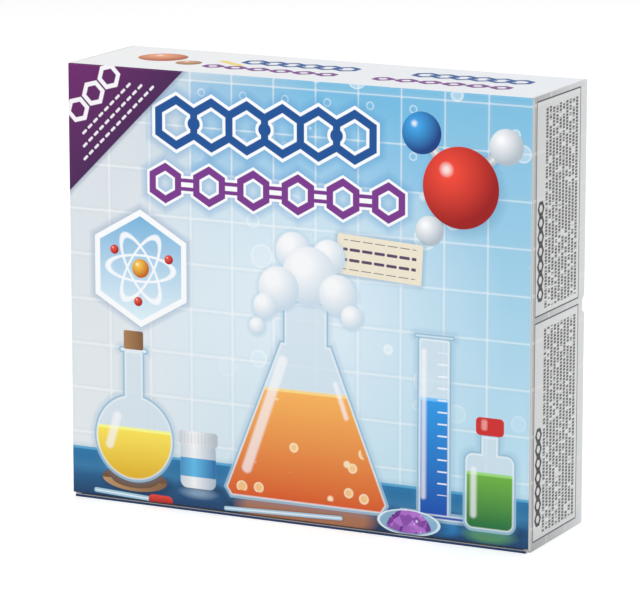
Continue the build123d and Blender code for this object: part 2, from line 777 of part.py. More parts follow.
# ================================================================ tweezers, spoon, pipette and straw
def tweezers_arm(side):
    """One arm, hinged at the top. The fixed arm (side 1) carries the pin and the other its eye."""
    x, z, back = rest_place("tweezers")
    hinge = Vector(x, back, z + TWEEZERS_LENGTH - TWEEZERS_EYE)
    tilt = Plane(origin=hinge, x_dir=X_AXIS, z_dir=TO_LID).rotated((0, 0, 0))
    reach = TWEEZERS_LENGTH - TWEEZERS_EYE
    angle = side * TWEEZERS_HALF_ANGLE
    half = TWEEZERS_WIDTH / 2
    with BuildPart() as arm:
        with BuildSketch(tilt):
            with Locations(Location((0, 0, 0), (0, 0, angle))):
                with Locations((side * (TWEEZERS_GAP + TWEEZERS_ARM / 2), -reach / 2 - TWEEZERS_EYE / 2)):
                    Rectangle(TWEEZERS_ARM, reach - TWEEZERS_EYE - 1)
        extrude(amount=TWEEZERS_WIDTH)
        low = 0 if side > 0 else TWEEZERS_FLANGE + PIVOT_FIT
        high = TWEEZERS_FLANGE if side > 0 else TWEEZERS_WIDTH
        with BuildSketch(tilt.offset(low)):
            Circle(TWEEZERS_EYE)
            with Locations(Location((0, 0, 0), (0, 0, angle))):
                with Locations((side * (TWEEZERS_GAP + TWEEZERS_ARM / 2), -TWEEZERS_EYE)):
                    Rectangle(TWEEZERS_ARM, 2 * TWEEZERS_EYE)
        extrude(amount=high - low)
        if side > 0:
            with BuildSketch(tilt):
                Circle(TWEEZERS_PIVOT_RADIUS)
            extrude(amount=TWEEZERS_WIDTH)
        else:
            with BuildSketch(tilt):
                Circle(TWEEZERS_PIVOT_RADIUS + PIVOT_FIT)
            extrude(amount=TWEEZERS_WIDTH, mode=Mode.SUBTRACT)
        with BuildSketch(Plane(origin=hinge, x_dir=UP * -1, z_dir=X_AXIS)) as taper:
            for sign in (0, 1):
                with BuildLine():
                    edge = sign * TWEEZERS_WIDTH
                    inward = half - TWEEZERS_TIP / 2 if sign == 0 else TWEEZERS_TIP / 2 - half
                    Polyline((reach / 2, edge), (reach + 1, edge + inward), (reach + 1, edge), close=True)
                make_face()
        extrude(amount=TWEEZERS_SPAN, both=True, mode=Mode.SUBTRACT)
    return arm.part


def measuring_spoon():
    """A small measuring spoon with a round bowl at its lower end."""
    x, z, back = rest_place("spoon")
    bowl = Vector(x, back - SPOON_BOWL_RADIUS, z + SPOON_BOWL_RADIUS)
    length = SPOON_LENGTH - SPOON_BOWL_RADIUS
    with BuildPart() as spoon:
        with Locations(bowl):
            Sphere(SPOON_BOWL_RADIUS)
        with BuildSketch(Plane(origin=bowl, x_dir=X_AXIS, z_dir=TO_LID)):
            with Locations((0, length / 2)):
                RectangleRounded(SPOON_WIDTH, length, SPOON_WIDTH / 2 - 0.1)
        extrude(amount=-SPOON_THICKNESS)
        with Locations(bowl):
            Sphere(SPOON_BOWL_RADIUS - SPOON_BOWL_WALL, mode=Mode.SUBTRACT)
        with BuildSketch(Plane(origin=bowl, x_dir=X_AXIS, z_dir=TO_LID)):
            Circle(SPOON_BOWL_RADIUS + 1)
        extrude(amount=SPOON_BOWL_RADIUS + 1, mode=Mode.SUBTRACT)
    return spoon.part


def pipette():
    """A dropper in one piece, with its bulb at the top."""
    x, z, back = rest_place("pipette")
    foot = Vector(x, back - PIPETTE_BULB_RADIUS, z)
    neck = PIPETTE_LENGTH - PIPETTE_BULB_LENGTH
    with BuildPart() as dropper:
        for skin, mode in ((0, Mode.ADD), (PIPETTE_WALL, Mode.SUBTRACT)):
            bulb, stem, tip = (r - skin for r in (PIPETTE_BULB_RADIUS, PIPETTE_STEM_RADIUS, PIPETTE_TIP_RADIUS))
            crown = PIPETTE_LENGTH - PIPETTE_BULB_RADIUS
            with BuildSketch(profile_plane(foot, UP, X_AXIS)):
                with BuildLine():
                    Polyline(
                        (0, 0),
                        (tip, 0),
                        (tip + 0.2, neck * 0.5),
                        (stem, neck * 0.6),
                        (stem, neck),
                        (bulb, neck + 6),
                        (bulb, crown),
                    )
                    CenterArc((0, crown), bulb, 0, 90)
                    Line((0, crown + bulb), (0, 0))
                make_face()
            revolve(axis=Axis(foot, UP), mode=mode)
    return dropper.part


def straw():
    """A drinking straw."""
    x, z, back = rest_place("straw")
    with BuildPart() as tube:
        with BuildSketch(Plane(origin=(x, back - STRAW_RADIUS, z))):
            Circle(STRAW_RADIUS)
            Circle(STRAW_RADIUS - STRAW_WALL, mode=Mode.SUBTRACT)
        extrude(amount=STRAW_LENGTH)
    return tube.part


# ================================================================ goggles and balloon
def goggles_middle():
    """The middle of the goggles' lens side, where x, z and the front of the frame meet."""
    x, z, back = rest_place("goggles")
    front = back - GOGGLES_REACH
    return Vector(x, front, z + GOGGLES_HEIGHT / 2)


def goggles_shape(inset, near, far):
    """The goggles' outline drawn in by inset, from one depth to another behind the front."""
    at = goggles_middle()
    with BuildPart() as shape:
        with BuildSketch(Plane(origin=at - TO_LID * near, x_dir=X_AXIS, z_dir=TO_LID)):
            RectangleRounded(GOGGLES_WIDTH - 2 * inset, GOGGLES_HEIGHT - 2 * inset, GOGGLES_BROW_RADIUS - inset)
            with Locations((0, -GOGGLES_HEIGHT / 2)):
                Ellipse(NOSE_WIDTH / 2 + inset, NOSE_HEIGHT + inset, mode=Mode.SUBTRACT)
        extrude(amount=near - far)
    return shape.part


def goggles_frame():
    """The goggles' soft frame: a deep rim curved to the face, with vents and strap lugs."""
    at = goggles_middle()
    half = GOGGLES_WIDTH / 2
    curve = (half**2 + GOGGLES_CURVE**2) / (2 * GOGGLES_CURVE)
    with BuildPart() as frame:
        add(goggles_shape(0, 0, GOGGLES_DEPTH))
        for side in (-1, 1):
            with Locations(at + Vector(side * half, GOGGLES_DEPTH - LUG_BACK - LUG_LENGTH / 2, 0)):
                Box(2 * LUG_DEPTH, LUG_LENGTH, STRAP_WIDTH + 2 * LUG_DEPTH)
        add(goggles_shape(GOGGLES_WALL, 0, GOGGLES_DEPTH), mode=Mode.SUBTRACT)
        add(goggles_shape(GOGGLES_WALL / 2, 0, LENS_THICKNESS + SEAT), mode=Mode.SUBTRACT)
        with Locations(at + Vector(0, GOGGLES_DEPTH - GOGGLES_CURVE + curve, 0)):
            Cylinder(curve, GOGGLES_HEIGHT * 2, mode=Mode.SUBTRACT)
        for i in range(VENT_COUNT):
            across = (i - (VENT_COUNT - 1) / 2) * VENT_PITCH
            with Locations(at + Vector(across, GOGGLES_DEPTH / 2, GOGGLES_HEIGHT / 2)):
                Cylinder(VENT_RADIUS, 3 * GOGGLES_WALL, mode=Mode.SUBTRACT)
    return frame.part


def goggles_lens():
    """The clear lens in the rebate round the frame's front."""
    return goggles_shape(GOGGLES_WALL / 2 + LENS_GAP, SEAT, SEAT + LENS_THICKNESS - 0.05)


def goggles_strap():
    """The elastic strap, folded in behind the frame from one lug to the other."""
    at = goggles_middle()
    outer = GOGGLES_WIDTH / 2 + LUG_DEPTH - 0.4
    inner = outer - STRAP_THICKNESS
    near = GOGGLES_DEPTH - LUG_BACK + 0.1
    with BuildPart() as strap:
        with BuildSketch(Plane(origin=at - UP * (STRAP_WIDTH / 2))):
            with Locations((0, (near + GOGGLES_REACH) / 2)):
                Rectangle(2 * outer, GOGGLES_REACH - near)
            with Locations((0, (near + GOGGLES_REACH - STRAP_THICKNESS) / 2)):
                Rectangle(2 * inner, GOGGLES_REACH - STRAP_THICKNESS - near, mode=Mode.SUBTRACT)
        extrude(amount=STRAP_WIDTH)
        for depth, radius in ((GOGGLES_REACH - STRAP_THICKNESS, STRAP_BEND - STRAP_THICKNESS), (GOGGLES_REACH, STRAP_BEND)):
            fillet([e for e in strap.edges().filter_by(Axis.Z) if abs(e.center().Y - at.Y - depth) < 0.1], radius)
    return strap.part


def balloon():
    """A balloon lying flat: a round body with a neck and a rolled end."""
    x, z, back = rest_place("balloon")
    middle = Vector(x - BALLOON_LENGTH / 2 + BALLOON_RADIUS, back, z + BALLOON_RADIUS)
    reach = BALLOON_LENGTH - BALLOON_RADIUS
    half_neck = BALLOON_NECK / 2
    with BuildPart() as skin:
        with BuildSketch(Plane(origin=middle, x_dir=X_AXIS, z_dir=TO_LID)):
            Circle(BALLOON_RADIUS)
            with BuildLine():
                Polyline(
                    (BALLOON_RADIUS * 0.5, BALLOON_RADIUS * 0.86),
                    (reach * 0.72, half_neck),
                    (reach, half_neck),
                    (reach, -half_neck),
                    (reach * 0.72, -half_neck),
                    (BALLOON_RADIUS * 0.5, -BALLOON_RADIUS * 0.86),
                    close=True,
                )
            make_face()
        extrude(amount=BALLOON_THICKNESS)
        fillet(skin.faces().sort_by(Axis.Y)[0].edges(), BALLOON_THICKNESS * 0.45)
    return skin.part


# ================================================================ files
def main():
    os.makedirs("parts", exist_ok=True)
    save(base_panel(), "base_panel")
    save(hinge_wall(), "hinge_wall")
    save(front_wall(), "front_wall")
    for side, word in ((-1, "left"), (1, "right")):
        save(side_wall(side), f"side_wall_{word}")
        save(side_liner(side), f"side_liner_{word}")
    save(corner_flaps(BOARD, BOARD + CORNER_FLAP_LENGTH), "corner_flaps_bottom")
    save(corner_flaps(TOP_INNER - CORNER_FLAP_LENGTH, TOP_INNER), "corner_flaps_top")
    save(lid_panel(), "lid_panel")
    save(tuck_flap(), "tuck_flap")
    save(insert_tray(), "insert_tray")
    save(booklet_cover(), "booklet_cover")
    save(booklet_pages(), "booklet_pages")
    save(tube_rack(), "tube_rack")
    for number, foot in enumerate(tube_places(), 1):
        save(test_tube(foot), f"test_tube_{number}")
        save(stopper(foot), f"stopper_{number}")
    save(beaker(), "beaker")
    save(petri_dish(), "petri_dish")
    save(petri_lid(), "petri_lid")
    for name in ("white_pot", "red_pot", "blue_pot"):
        save(pot(name), name)
        save(pot_cap(name), f"{name}_cap")
    save(funnel(), "funnel")
    save(syringe_barrel(), "syringe_barrel")
    save(syringe_plunger(), "syringe_plunger")
    save(plunger_seal(), "plunger_seal")
    save(tweezers_arm(1), "tweezers_fixed_arm")
    save(tweezers_arm(-1), "tweezers_moving_arm")
    save(measuring_spoon(), "measuring_spoon")
    save(pipette(), "pipette")
    save(straw(), "straw")
    save(goggles_frame(), "goggles_frame")
    save(goggles_lens(), "goggles_lens")
    save(goggles_strap(), "goggles_strap")
    save(balloon(), "balloon")


if __name__ == "__main__":
    main()
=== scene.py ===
# %% [markdown]
# # A chemistry set case
# Everything below adds what CAD leaves out, which is mostly surface: print, board, plastic, glass
# and rubber. Lengths are in metres unless a name ends in `_MM`, and every length on a printed sheet
# is in millimetres.

# %% Load the frame
import math

import bmesh
import bpy
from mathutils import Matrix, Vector


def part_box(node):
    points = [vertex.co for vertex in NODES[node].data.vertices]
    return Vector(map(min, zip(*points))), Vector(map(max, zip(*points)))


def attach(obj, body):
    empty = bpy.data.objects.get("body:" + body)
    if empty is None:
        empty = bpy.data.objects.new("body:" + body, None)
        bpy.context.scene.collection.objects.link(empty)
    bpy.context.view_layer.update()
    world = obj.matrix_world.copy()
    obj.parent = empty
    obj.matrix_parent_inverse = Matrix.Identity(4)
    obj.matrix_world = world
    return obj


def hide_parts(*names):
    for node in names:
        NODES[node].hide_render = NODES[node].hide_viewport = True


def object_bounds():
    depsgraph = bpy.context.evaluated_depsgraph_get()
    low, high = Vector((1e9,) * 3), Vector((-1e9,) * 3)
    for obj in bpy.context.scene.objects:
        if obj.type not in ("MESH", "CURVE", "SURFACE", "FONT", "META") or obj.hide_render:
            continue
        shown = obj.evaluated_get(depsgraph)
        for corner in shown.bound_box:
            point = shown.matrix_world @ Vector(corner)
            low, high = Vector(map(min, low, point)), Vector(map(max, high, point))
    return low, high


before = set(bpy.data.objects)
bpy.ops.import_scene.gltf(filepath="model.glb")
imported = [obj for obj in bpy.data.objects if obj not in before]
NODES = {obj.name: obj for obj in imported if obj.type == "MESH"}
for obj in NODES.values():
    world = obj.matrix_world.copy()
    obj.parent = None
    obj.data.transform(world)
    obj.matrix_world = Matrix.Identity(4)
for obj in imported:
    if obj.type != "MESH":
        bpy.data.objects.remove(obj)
CAD_LOW, CAD_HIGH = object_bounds()
MM = 0.001
WIDTH_MM = (CAD_HIGH.x - CAD_LOW.x) / MM
DEPTH_MM = (CAD_HIGH.y - CAD_LOW.y) / MM
HEIGHT_MM = (CAD_HIGH.z - CAD_LOW.z) / MM
print("case in mm:", round(WIDTH_MM), round(DEPTH_MM), round(HEIGHT_MM))

# %% [markdown]
# ## Camera
# A pack shot is taken with a long lens from some way off, so its edges hardly converge. A short
# lens close by would show the same faces, but would lean the case's upright lines together. The
# camera stands a little to the case's right and looks slightly down.

# %% Camera
CAMERA_PLACE = (1.2050, -2.4389, 0.7167)
CAMERA_YAW = math.radians(26.36)
CAMERA_PITCH = math.radians(-11.93)
LENS_MM = 233.0

camera_data = bpy.data.cameras.new("camera")
camera_data.lens = LENS_MM
camera_data.sensor_width = 36.0
camera_data.clip_end = 100.0
camera = bpy.data.objects.new("camera", camera_data)
camera.location = CAMERA_PLACE
camera.rotation_euler = (math.pi / 2 + CAMERA_PITCH, 0.0, CAMERA_YAW)
bpy.context.collection.objects.link(camera)
bpy.context.scene.camera = camera
print("camera at", CAMERA_PLACE, "lens", LENS_MM)


# %% [markdown]
# ## A small language for shader maths
# Blender's materials are graphs of nodes. A graph with hundreds of nodes is easier to read as
# formulas, so `Field` wraps one number or vector that varies over a surface and turns ordinary
# Python arithmetic into nodes.

# %% Fields
class Field:
    """A value in a shader graph. Arithmetic on it adds nodes to the graph."""

    def __init__(self, tree, socket):
        self.tree, self.socket = tree, socket

    def node(self, kind, *inputs, output=0, **settings):
        made = self.tree.nodes.new(kind)
        for key, value in settings.items():
            setattr(made, key, value)
        for index, value in enumerate(inputs):
            if isinstance(value, Field):
                self.tree.links.new(value.socket, made.inputs[index])
            elif value is not None:
                made.inputs[index].default_value = value
        return Field(self.tree, made.outputs[output])

    def math(self, operation, *others):
        return self.node("ShaderNodeMath", self, *others, operation=operation)

    def vector(self, operation, *others, output=0):
        return self.node("ShaderNodeVectorMath", self, *others, operation=operation, output=output)

    def __add__(self, other):
        return self.math("ADD", other)

    def __sub__(self, other):
        return self.math("SUBTRACT", other)

    def __rsub__(self, other):
        return self.node("ShaderNodeMath", other, self, operation="SUBTRACT")

    def __mul__(self, other):
        return self.math("MULTIPLY", other)

    def __truediv__(self, other):
        return self.math("DIVIDE", other)

    def __neg__(self):
        return self.math("MULTIPLY", -1.0)

    __radd__ = __add__
    __rmul__ = __mul__

    def over(self, other):
        """Where both of two shapes are."""
        return self.math("MAXIMUM", other)

    def join(self, other):
        """Where either of two shapes is."""
        return self.math("MINIMUM", other)

    def clamped(self):
        """Kept to 0 to 1 by a node of its own: a maths node's own clamp is worked out last, and
        Cycles has no room for hundreds of values that wait for it."""
        return self.node("ShaderNodeClamp", self)

    def mask(self, soft=0.35):
        """1 inside a shape and 0 outside it, over an edge this many millimetres wide."""
        return self.math("MULTIPLY_ADD", -1.0 / soft, 0.5).clamped()

    def ramp(self, low, high):
        """0 at low and 1 at high."""
        scale = 1.0 / (high - low)
        return self.math("MULTIPLY_ADD", scale, -low * scale).clamped()

    def copies(self, pitch, count):
        """This many copies in a row, each measured from its own middle."""
        start = self + pitch * (count - 1) / 2
        number = (start / pitch).math("ROUND").over(0.0).join(count - 1.0)
        return start - number * pitch

    def repeat(self, pitch):
        """The same value again every pitch, from -pitch / 2 to pitch / 2."""
        return self.math("WRAP", pitch / 2, -pitch / 2)


def mix(amount, first, second):
    """Colour between first and second. Either may be a Field or (red, green, blue)."""
    field = next(v for v in (amount, first, second) if isinstance(v, Field))
    made = field.tree.nodes.new("ShaderNodeMix")
    made.data_type = "RGBA"
    for index, value in ((0, amount), (6, first), (7, second)):
        if isinstance(value, Field):
            field.tree.links.new(value.socket, made.inputs[index])
        elif index == 0:
            made.inputs[0].default_value = value
        else:
            made.inputs[index].default_value = (*value, 1.0)
    return Field(field.tree, made.outputs[2])


# %% [markdown]
# ## Flat shapes as distances
# A printed shape is stored as a distance: how far each point is outside it, negative inside. Such
# shapes join, cut and outline each other with plain minimum and maximum. An image texture would be
# quicker to make, but it blurs close up, and a distance stays sharp at any zoom.

# %% The sheet that shapes are drawn on
class Sheet:
    """A flat drawing surface measured in millimetres, over which shapes are distances."""

    def __init__(self, across, up):
        self.x, self.y = across, up
        self.at = across.node("ShaderNodeCombineXYZ", across, up)

    def moved(self, x, y, degrees=0.0):
        """The same sheet seen from another origin, turned about it."""
        dx, dy = self.x - x, self.y - y
        if not degrees:
            return Sheet(dx, dy)
        c, s = math.cos(math.radians(degrees)), math.sin(math.radians(degrees))
        return Sheet(dx * c + dy * s, dy * c - dx * s)

    def disc(self, x, y, radius):
        return self.at.vector("DISTANCE", (x, y, 0.0), output=1) - radius

    def box(self, x, y, width, height, corner=0.8):
        half = (width / 2 - corner, height / 2 - corner, 0.0)
        away = self.at.vector("SUBTRACT", (x, y, 0.0)).vector("ABSOLUTE").vector("SUBTRACT", half)
        outside = away.vector("MAXIMUM", (0.0, 0.0, 0.0)).vector("LENGTH", output=1)
        deep_x = away.vector("DOT_PRODUCT", (1.0, 0.0, 0.0), output=1)
        deep_y = away.vector("DOT_PRODUCT", (0.0, 1.0, 0.0), output=1)
        return outside + deep_x.over(deep_y).join(0.0) - corner

    def bar(self, x1, y1, x2, y2, radius):
        """A round-ended bar between two points."""
        dx, dy = x2 - x1, y2 - y1
        start = self.at.vector("SUBTRACT", (x1, y1, 0.0))
        share = start.vector("DOT_PRODUCT", (dx, dy, 0.0), output=1)
        share = (share * (1.0 / (dx * dx + dy * dy))).clamped()
        line = share.node("ShaderNodeCombineXYZ", share * dx, share * dy)
        return start.vector("SUBTRACT", line).vector("LENGTH", output=1) - radius

    def side(self, x, y, degrees):
        """Everything behind a line through a point, whose outward direction is given."""
        a = math.radians(degrees)
        return self.x * math.cos(a) + self.y * math.sin(a) - (x * math.cos(a) + y * math.sin(a))

    def hexagon(self, radius):
        """A hexagon round the origin, with a corner at the top. radius is to its flat sides."""
        folded = self.at.vector("ABSOLUTE")
        slanted = folded.vector("DOT_PRODUCT", (0.5, math.sqrt(0.75), 0.0), output=1)
        return slanted.over(self.x.math("ABSOLUTE")) - radius


def outline(shape, width):
    """A band of this width centred on a shape's edge."""
    return shape.math("ABSOLUTE") - width / 2


class Picture:
    """Colours laid over each other on a sheet, the latest on top."""

    def __init__(self, sheet, ground, place=None):
        self.sheet, self.colour, self.place = sheet, ground, place

    def cells(self, pitch):
        """Seeds about this many millimetres apart: distance to the nearest, and its colour."""
        seeds, tint = cells(self.place, 1 / (pitch * MM))
        return seeds * pitch, tint

    def put(self, shape, colour, strength=1.0, soft=0.35):
        cover = shape.mask(soft)
        if isinstance(strength, Field) or strength != 1.0:
            cover = cover * strength
        self.colour = mix(cover, self.colour, colour)

    def raised(self, shape, colour, rim=2.2, shadow=7.0):
        """A shape with a white rim and a soft blue shadow, as display lettering is printed."""
        self.put(shape - rim - shadow / 3, (0.05, 0.30, 0.62), 0.55, shadow)
        self.put(shape - rim, (0.97, 0.98, 1.0))
        self.put(shape, colour)


# %% [markdown]
# ## Materials from a recipe
# Each material starts the same way: a Principled shader, the place of each point on the piece, and
# the direction its surface faces. A CAD node's own origin is the scene's, so "Object" coordinates
# are simply metres in the case's frame, and they stay on the piece when a joint moves it.

# %% Material helper
def new_material(name, roughness=0.5, coat=0.0, gloss=0.5):
    material = bpy.data.materials.new(name)
    material.use_nodes = True
    tree = material.node_tree
    shader = tree.nodes["Principled BSDF"]
    shader.inputs["Roughness"].default_value = roughness
    shader.inputs["Coat Weight"].default_value = coat
    shader.inputs["Coat Roughness"].default_value = 0.2
    shader.inputs["Specular IOR Level"].default_value = gloss
    where = tree.nodes.new("ShaderNodeTexCoord")
    place = Field(tree, where.outputs["Object"])
    facing = Field(tree, where.outputs["Normal"])
    return material, shader, place, facing


def split(vector, scale=1.0):
    """The x, y and z of a vector Field."""
    node = vector.tree.nodes.new("ShaderNodeSeparateXYZ")
    vector.tree.links.new(vector.socket, node.inputs[0])
    parts = [Field(vector.tree, node.outputs[i]) for i in range(3)]
    return parts if scale == 1.0 else [part * scale for part in parts]


def set_socket(shader, name, field):
    field.tree.links.new(field.socket, shader.inputs[name])


def set_bump(shader, height, distance=0.0002, strength=0.5):
    """Height is 0 to 1 and distance is what 1 stands for."""
    tree = height.tree
    bump = tree.nodes.new("ShaderNodeBump")
    bump.inputs["Distance"].default_value = distance
    bump.inputs["Strength"].default_value = strength
    tree.links.new(height.socket, bump.inputs["Height"])
    tree.links.new(bump.outputs["Normal"], shader.inputs["Normal"])


def noise(place, scale, detail=3.0, roughness=0.5):
    made = place.tree.nodes.new("ShaderNodeTexNoise")
    made.inputs["Scale"].default_value = scale
    made.inputs["Detail"].default_value = detail
    made.inputs["Roughness"].default_value = roughness
    place.tree.links.new(place.socket, made.inputs["Vector"])
    return Field(place.tree, made.outputs["Fac"])


def cells(place, scale):
    """Voronoi cells: distance to the nearest seed, and the cell's own colour."""
    made = place.tree.nodes.new("ShaderNodeTexVoronoi")
    made.inputs["Scale"].default_value = scale
    place.tree.links.new(place.socket, made.inputs["Vector"])
    return Field(place.tree, made.outputs["Distance"]), Field(place.tree, made.outputs["Color"])


# %% [markdown]
# ## The front's print
# The front carries a display print of laboratory glass on a bench, against a tiled wall that fades
# into light blue. The design is made for this case: plain glassware, molecules and hexagons, with
# no lettering. It is built in layers, from the wall forward.

# %% Wall, bench and corner
INK_BLUE = (0.0, 0.075, 0.30)
INK_PURPLE = (0.19, 0.03, 0.26)
CONTACT_BLUE = (0.0, 0.015, 0.06)
GLARE = (1.0, 1.0, 1.0)
BENCH_FOOT = (0.004, 0.03, 0.11)
BENCH_TOP_MM = 36.0
TILE_MM = 31.0
GROUT_MM = 1.0
TILE_CORNER_MM = 1.2
LIQUID_FOOT_MM = 15.0
CORNER_LEG_MM = 87.0
LEFT_MM = -WIDTH_MM / 2


def draw_tiles(sheet):
    """Square tiles over the whole sheet, as a distance from each tile's edge."""
    tile = Sheet(sheet.x.repeat(TILE_MM), sheet.y.repeat(TILE_MM))
    return tile.box(0.0, 0.0, TILE_MM - GROUT_MM, TILE_MM - GROUT_MM, TILE_CORNER_MM)


def draw_wall(sheet, place):
    """A tiled wall, pale at the left and light blue beyond, with bubbles drifting over it."""
    blueness = sheet.x.ramp(-120.0, 10.0)
    height = sheet.y.ramp(20.0, HEIGHT_MM)
    pale = mix(height, (0.80, 0.85, 0.88), (0.68, 0.74, 0.79))
    blue = mix(height, (0.56, 0.79, 0.90), (0.20, 0.52, 0.76))
    picture = Picture(sheet, mix(blueness, pale, blue), place)
    glow = sheet.disc(5.0, 150.0, 0.0).ramp(150.0, 20.0)
    picture.colour = mix(glow * 0.75, picture.colour, (0.86, 0.93, 0.97))
    tile = draw_tiles(sheet)
    picture.put(-tile, (0.95, 0.97, 0.98), 0.55, 1.0)
    picture.put(outline(tile + 1.4, 0.7), (0.45, 0.58, 0.68), 0.16, 1.2)
    lit = sheet.box(15.5, 263.5, 186.0, 62.0, 0.2)
    picture.put(tile.over(lit), (0.12, 0.46, 0.78), 0.4, 0.8)
    spot = Sheet(sheet.x.repeat(TILE_MM) + 7.0, sheet.y.repeat(TILE_MM) - 8.0).disc(0.0, 0.0, 2.4)
    picture.put(outline(spot, 1.0).over(lit), (0.95, 0.98, 1.0), 0.45, 0.5)
    return picture


def draw_bench(picture):
    sheet = picture.sheet
    top = sheet.side(0.0, BENCH_TOP_MM, 90.0)
    depth = sheet.y.ramp(0.0, BENCH_TOP_MM)
    picture.put(top - 1.5, (0.25, 0.45, 0.62), 0.4, 5.0)
    picture.put(top, mix(depth, BENCH_FOOT, (0.015, 0.19, 0.42)))
    picture.put(outline(top + 0.8, 1.6), (0.12, 0.46, 0.72), 0.8, 0.8)
    picture.put(outline(top + 13.0, 5.0), (0.08, 0.34, 0.60), 0.35, 9.0)


def draw_corner(picture):
    """The flash across the top left corner: a purple triangle, three hexagons, rows of dashes."""
    sheet = picture.sheet
    reach = CORNER_LEG_MM * math.sqrt(0.5)
    turned = sheet.moved(LEFT_MM, HEIGHT_MM, 45.0)
    flash = turned.side(0.0, -reach, 270.0)
    shade = (-turned.y).ramp(0.0, reach)
    purple = mix(shade, (0.15, 0.010, 0.14), (0.055, 0.006, 0.08))
    picture.put(flash - 1.5, (0.04, 0.10, 0.25), 0.5, 4.0)
    picture.put(flash, purple)
    big = Sheet(turned.x.copies(17.0, 3), turned.y + 27.0)
    picture.put(outline(big.hexagon(6.4), 3.0), (0.92, 0.90, 0.94))
    for row, count in ((41.0, 9), (47.5, 11), (54.0, 13)):
        dots = Sheet(turned.x.copies(6.0, count), turned.y + row).box(0.0, 0.0, 4.4, 1.8, 0.8)
        picture.put(dots, (0.85, 0.80, 0.88))


# %% [markdown]
# Two chains of hexagons stand where such a case carries its title, in two strong inks with a white
# rim and a soft shadow. One cell of each chain is drawn and then repeated along the row, which
# costs a few nodes where twelve separate hexagons would cost hundreds.

# %% Title rows
def draw_titles(picture):
    sheet = picture.sheet
    pitch, count = 26.4, 6
    first = sheet.moved(-22.0, 265.5)
    cell = Sheet(first.x.copies(pitch, count), first.y)
    core = Sheet(first.x.copies(2 * pitch, count // 2), first.y).disc(0.0, 0.0, 4.6)
    picture.raised(outline(cell.hexagon(pitch / 2), 5.4).join(core), INK_BLUE)

    pitch, count = 33.0, 6
    second = sheet.moved(-14.0, 224.0)
    cell = Sheet(second.x.copies(pitch, count), second.y)
    bonds = Sheet(second.x.copies(pitch, count - 1), second.y)
    bond = bonds.box(0.0, 2.9, 15.0, 2.6, 0.8).join(bonds.box(0.0, -2.9, 15.0, 2.6, 0.8))
    picture.raised(outline(cell.hexagon(9.6), 4.8).join(bond), INK_PURPLE, 1.8)


# %% [markdown]
# Printed glass needs three things to read as glass: a darker rim where it is seen edge on, a bright
# strip down one side, and a liquid with a lighter top edge. One helper gives all three to every
# vessel, so that they look drawn by one hand.

# %% Glassware
def fill_vessel(picture, body, liquid_top, dark, light, shine, rim=2.4):
    """A glass vessel whose outline is body, filled up to liquid_top with a graded liquid."""
    sheet = picture.sheet
    picture.put(body - 1.0, (0.06, 0.26, 0.50), 0.35, 6.0)
    picture.put(body, (0.78, 0.88, 0.93), 0.62)
    level = sheet.side(0.0, liquid_top, 90.0)
    inside = body + rim
    graded = mix(sheet.y.ramp(LIQUID_FOOT_MM, liquid_top), dark, light)
    picture.put(inside.over(level), graded)
    surface = tuple(min(1.0, c * 1.3 + 0.12) for c in light)
    picture.put(inside.over(outline(level, 2.2)), surface, 0.9)
    picture.put(outline(body + 0.8, 1.2), (0.16, 0.42, 0.62), 0.75, 0.8)
    picture.put(outline(body + rim, 0.8), (0.95, 0.98, 1.0), 0.6, 0.8)
    picture.put(shine, GLARE, 0.62, 2.0)


def stand_on_bench(picture, x, foot, half, glow):
    """The dark contact and the coloured glow that a vessel leaves on a shiny bench."""
    sheet = picture.sheet
    contact = Sheet(sheet.x - x - 3.0, (sheet.y - foot) * 4.0).disc(0.0, 0.0, half + 4.0)
    picture.put(contact, CONTACT_BLUE, 0.5, 8.0)
    reflection = Sheet(sheet.x - x, (sheet.y - foot + 4.0) * 3.2).disc(0.0, 0.0, half * 0.8)
    picture.put(reflection, glow, 0.5, 12.0)


def cone_flask(sheet, x, foot, half_base, shoulder, half_neck, top):
    """A conical flask's outline: a trapezium with a straight neck and a lip."""
    here = sheet.moved(x, foot)
    across = here.x.math("ABSOLUTE")
    fold = Sheet(across, here.y)
    lean = math.degrees(math.atan2(half_base - half_neck, shoulder))
    cone = fold.side(half_base, 6.0, lean).over(-here.y)
    cone = cone.over(fold.side(half_base - 4.0, 2.0, -35.0)).over(here.side(0.0, shoulder, 90.0))
    neck = here.box(0.0, (shoulder + top) / 2 - 4.0, 2 * half_neck, top - shoulder + 8.0)
    lip = here.box(0.0, top, 2 * half_neck + 7.0, 5.0, 2.4)
    return cone.join(neck).join(lip)


FOAM_PUFFS_MM = (
    (-20, 147, 15), (3, 157, 20), (24, 146, 14), (-9, 173, 13),
    (17, 171, 12), (-30, 134, 9), (34, 132, 8), (-36, 120, 6),
)  # across and up from the middle of the flask's foot, and radius


def draw_foam(picture, x, foot):
    """Round puffs, each lit from the upper left, with the highest ones behind."""
    sheet = picture.sheet
    for dx, dy, radius in FOAM_PUFFS_MM:
        picture.put(sheet.disc(x + dx, foot + dy, radius + 0.8), (0.25, 0.48, 0.68), 0.45, 4.0)
    for dx, dy, radius in sorted(FOAM_PUFFS_MM, key=lambda puff: puff[1], reverse=True):
        lit = sheet.disc(x + dx - radius * 0.3, foot + dy + radius * 0.4, 0.0)
        lit = lit.ramp(radius * 1.35, radius * 0.3)
        puff = mix(lit, (0.60, 0.72, 0.82), (0.95, 0.96, 0.97))
        picture.put(sheet.disc(x + dx, foot + dy, radius), puff, 1.0, 1.2)


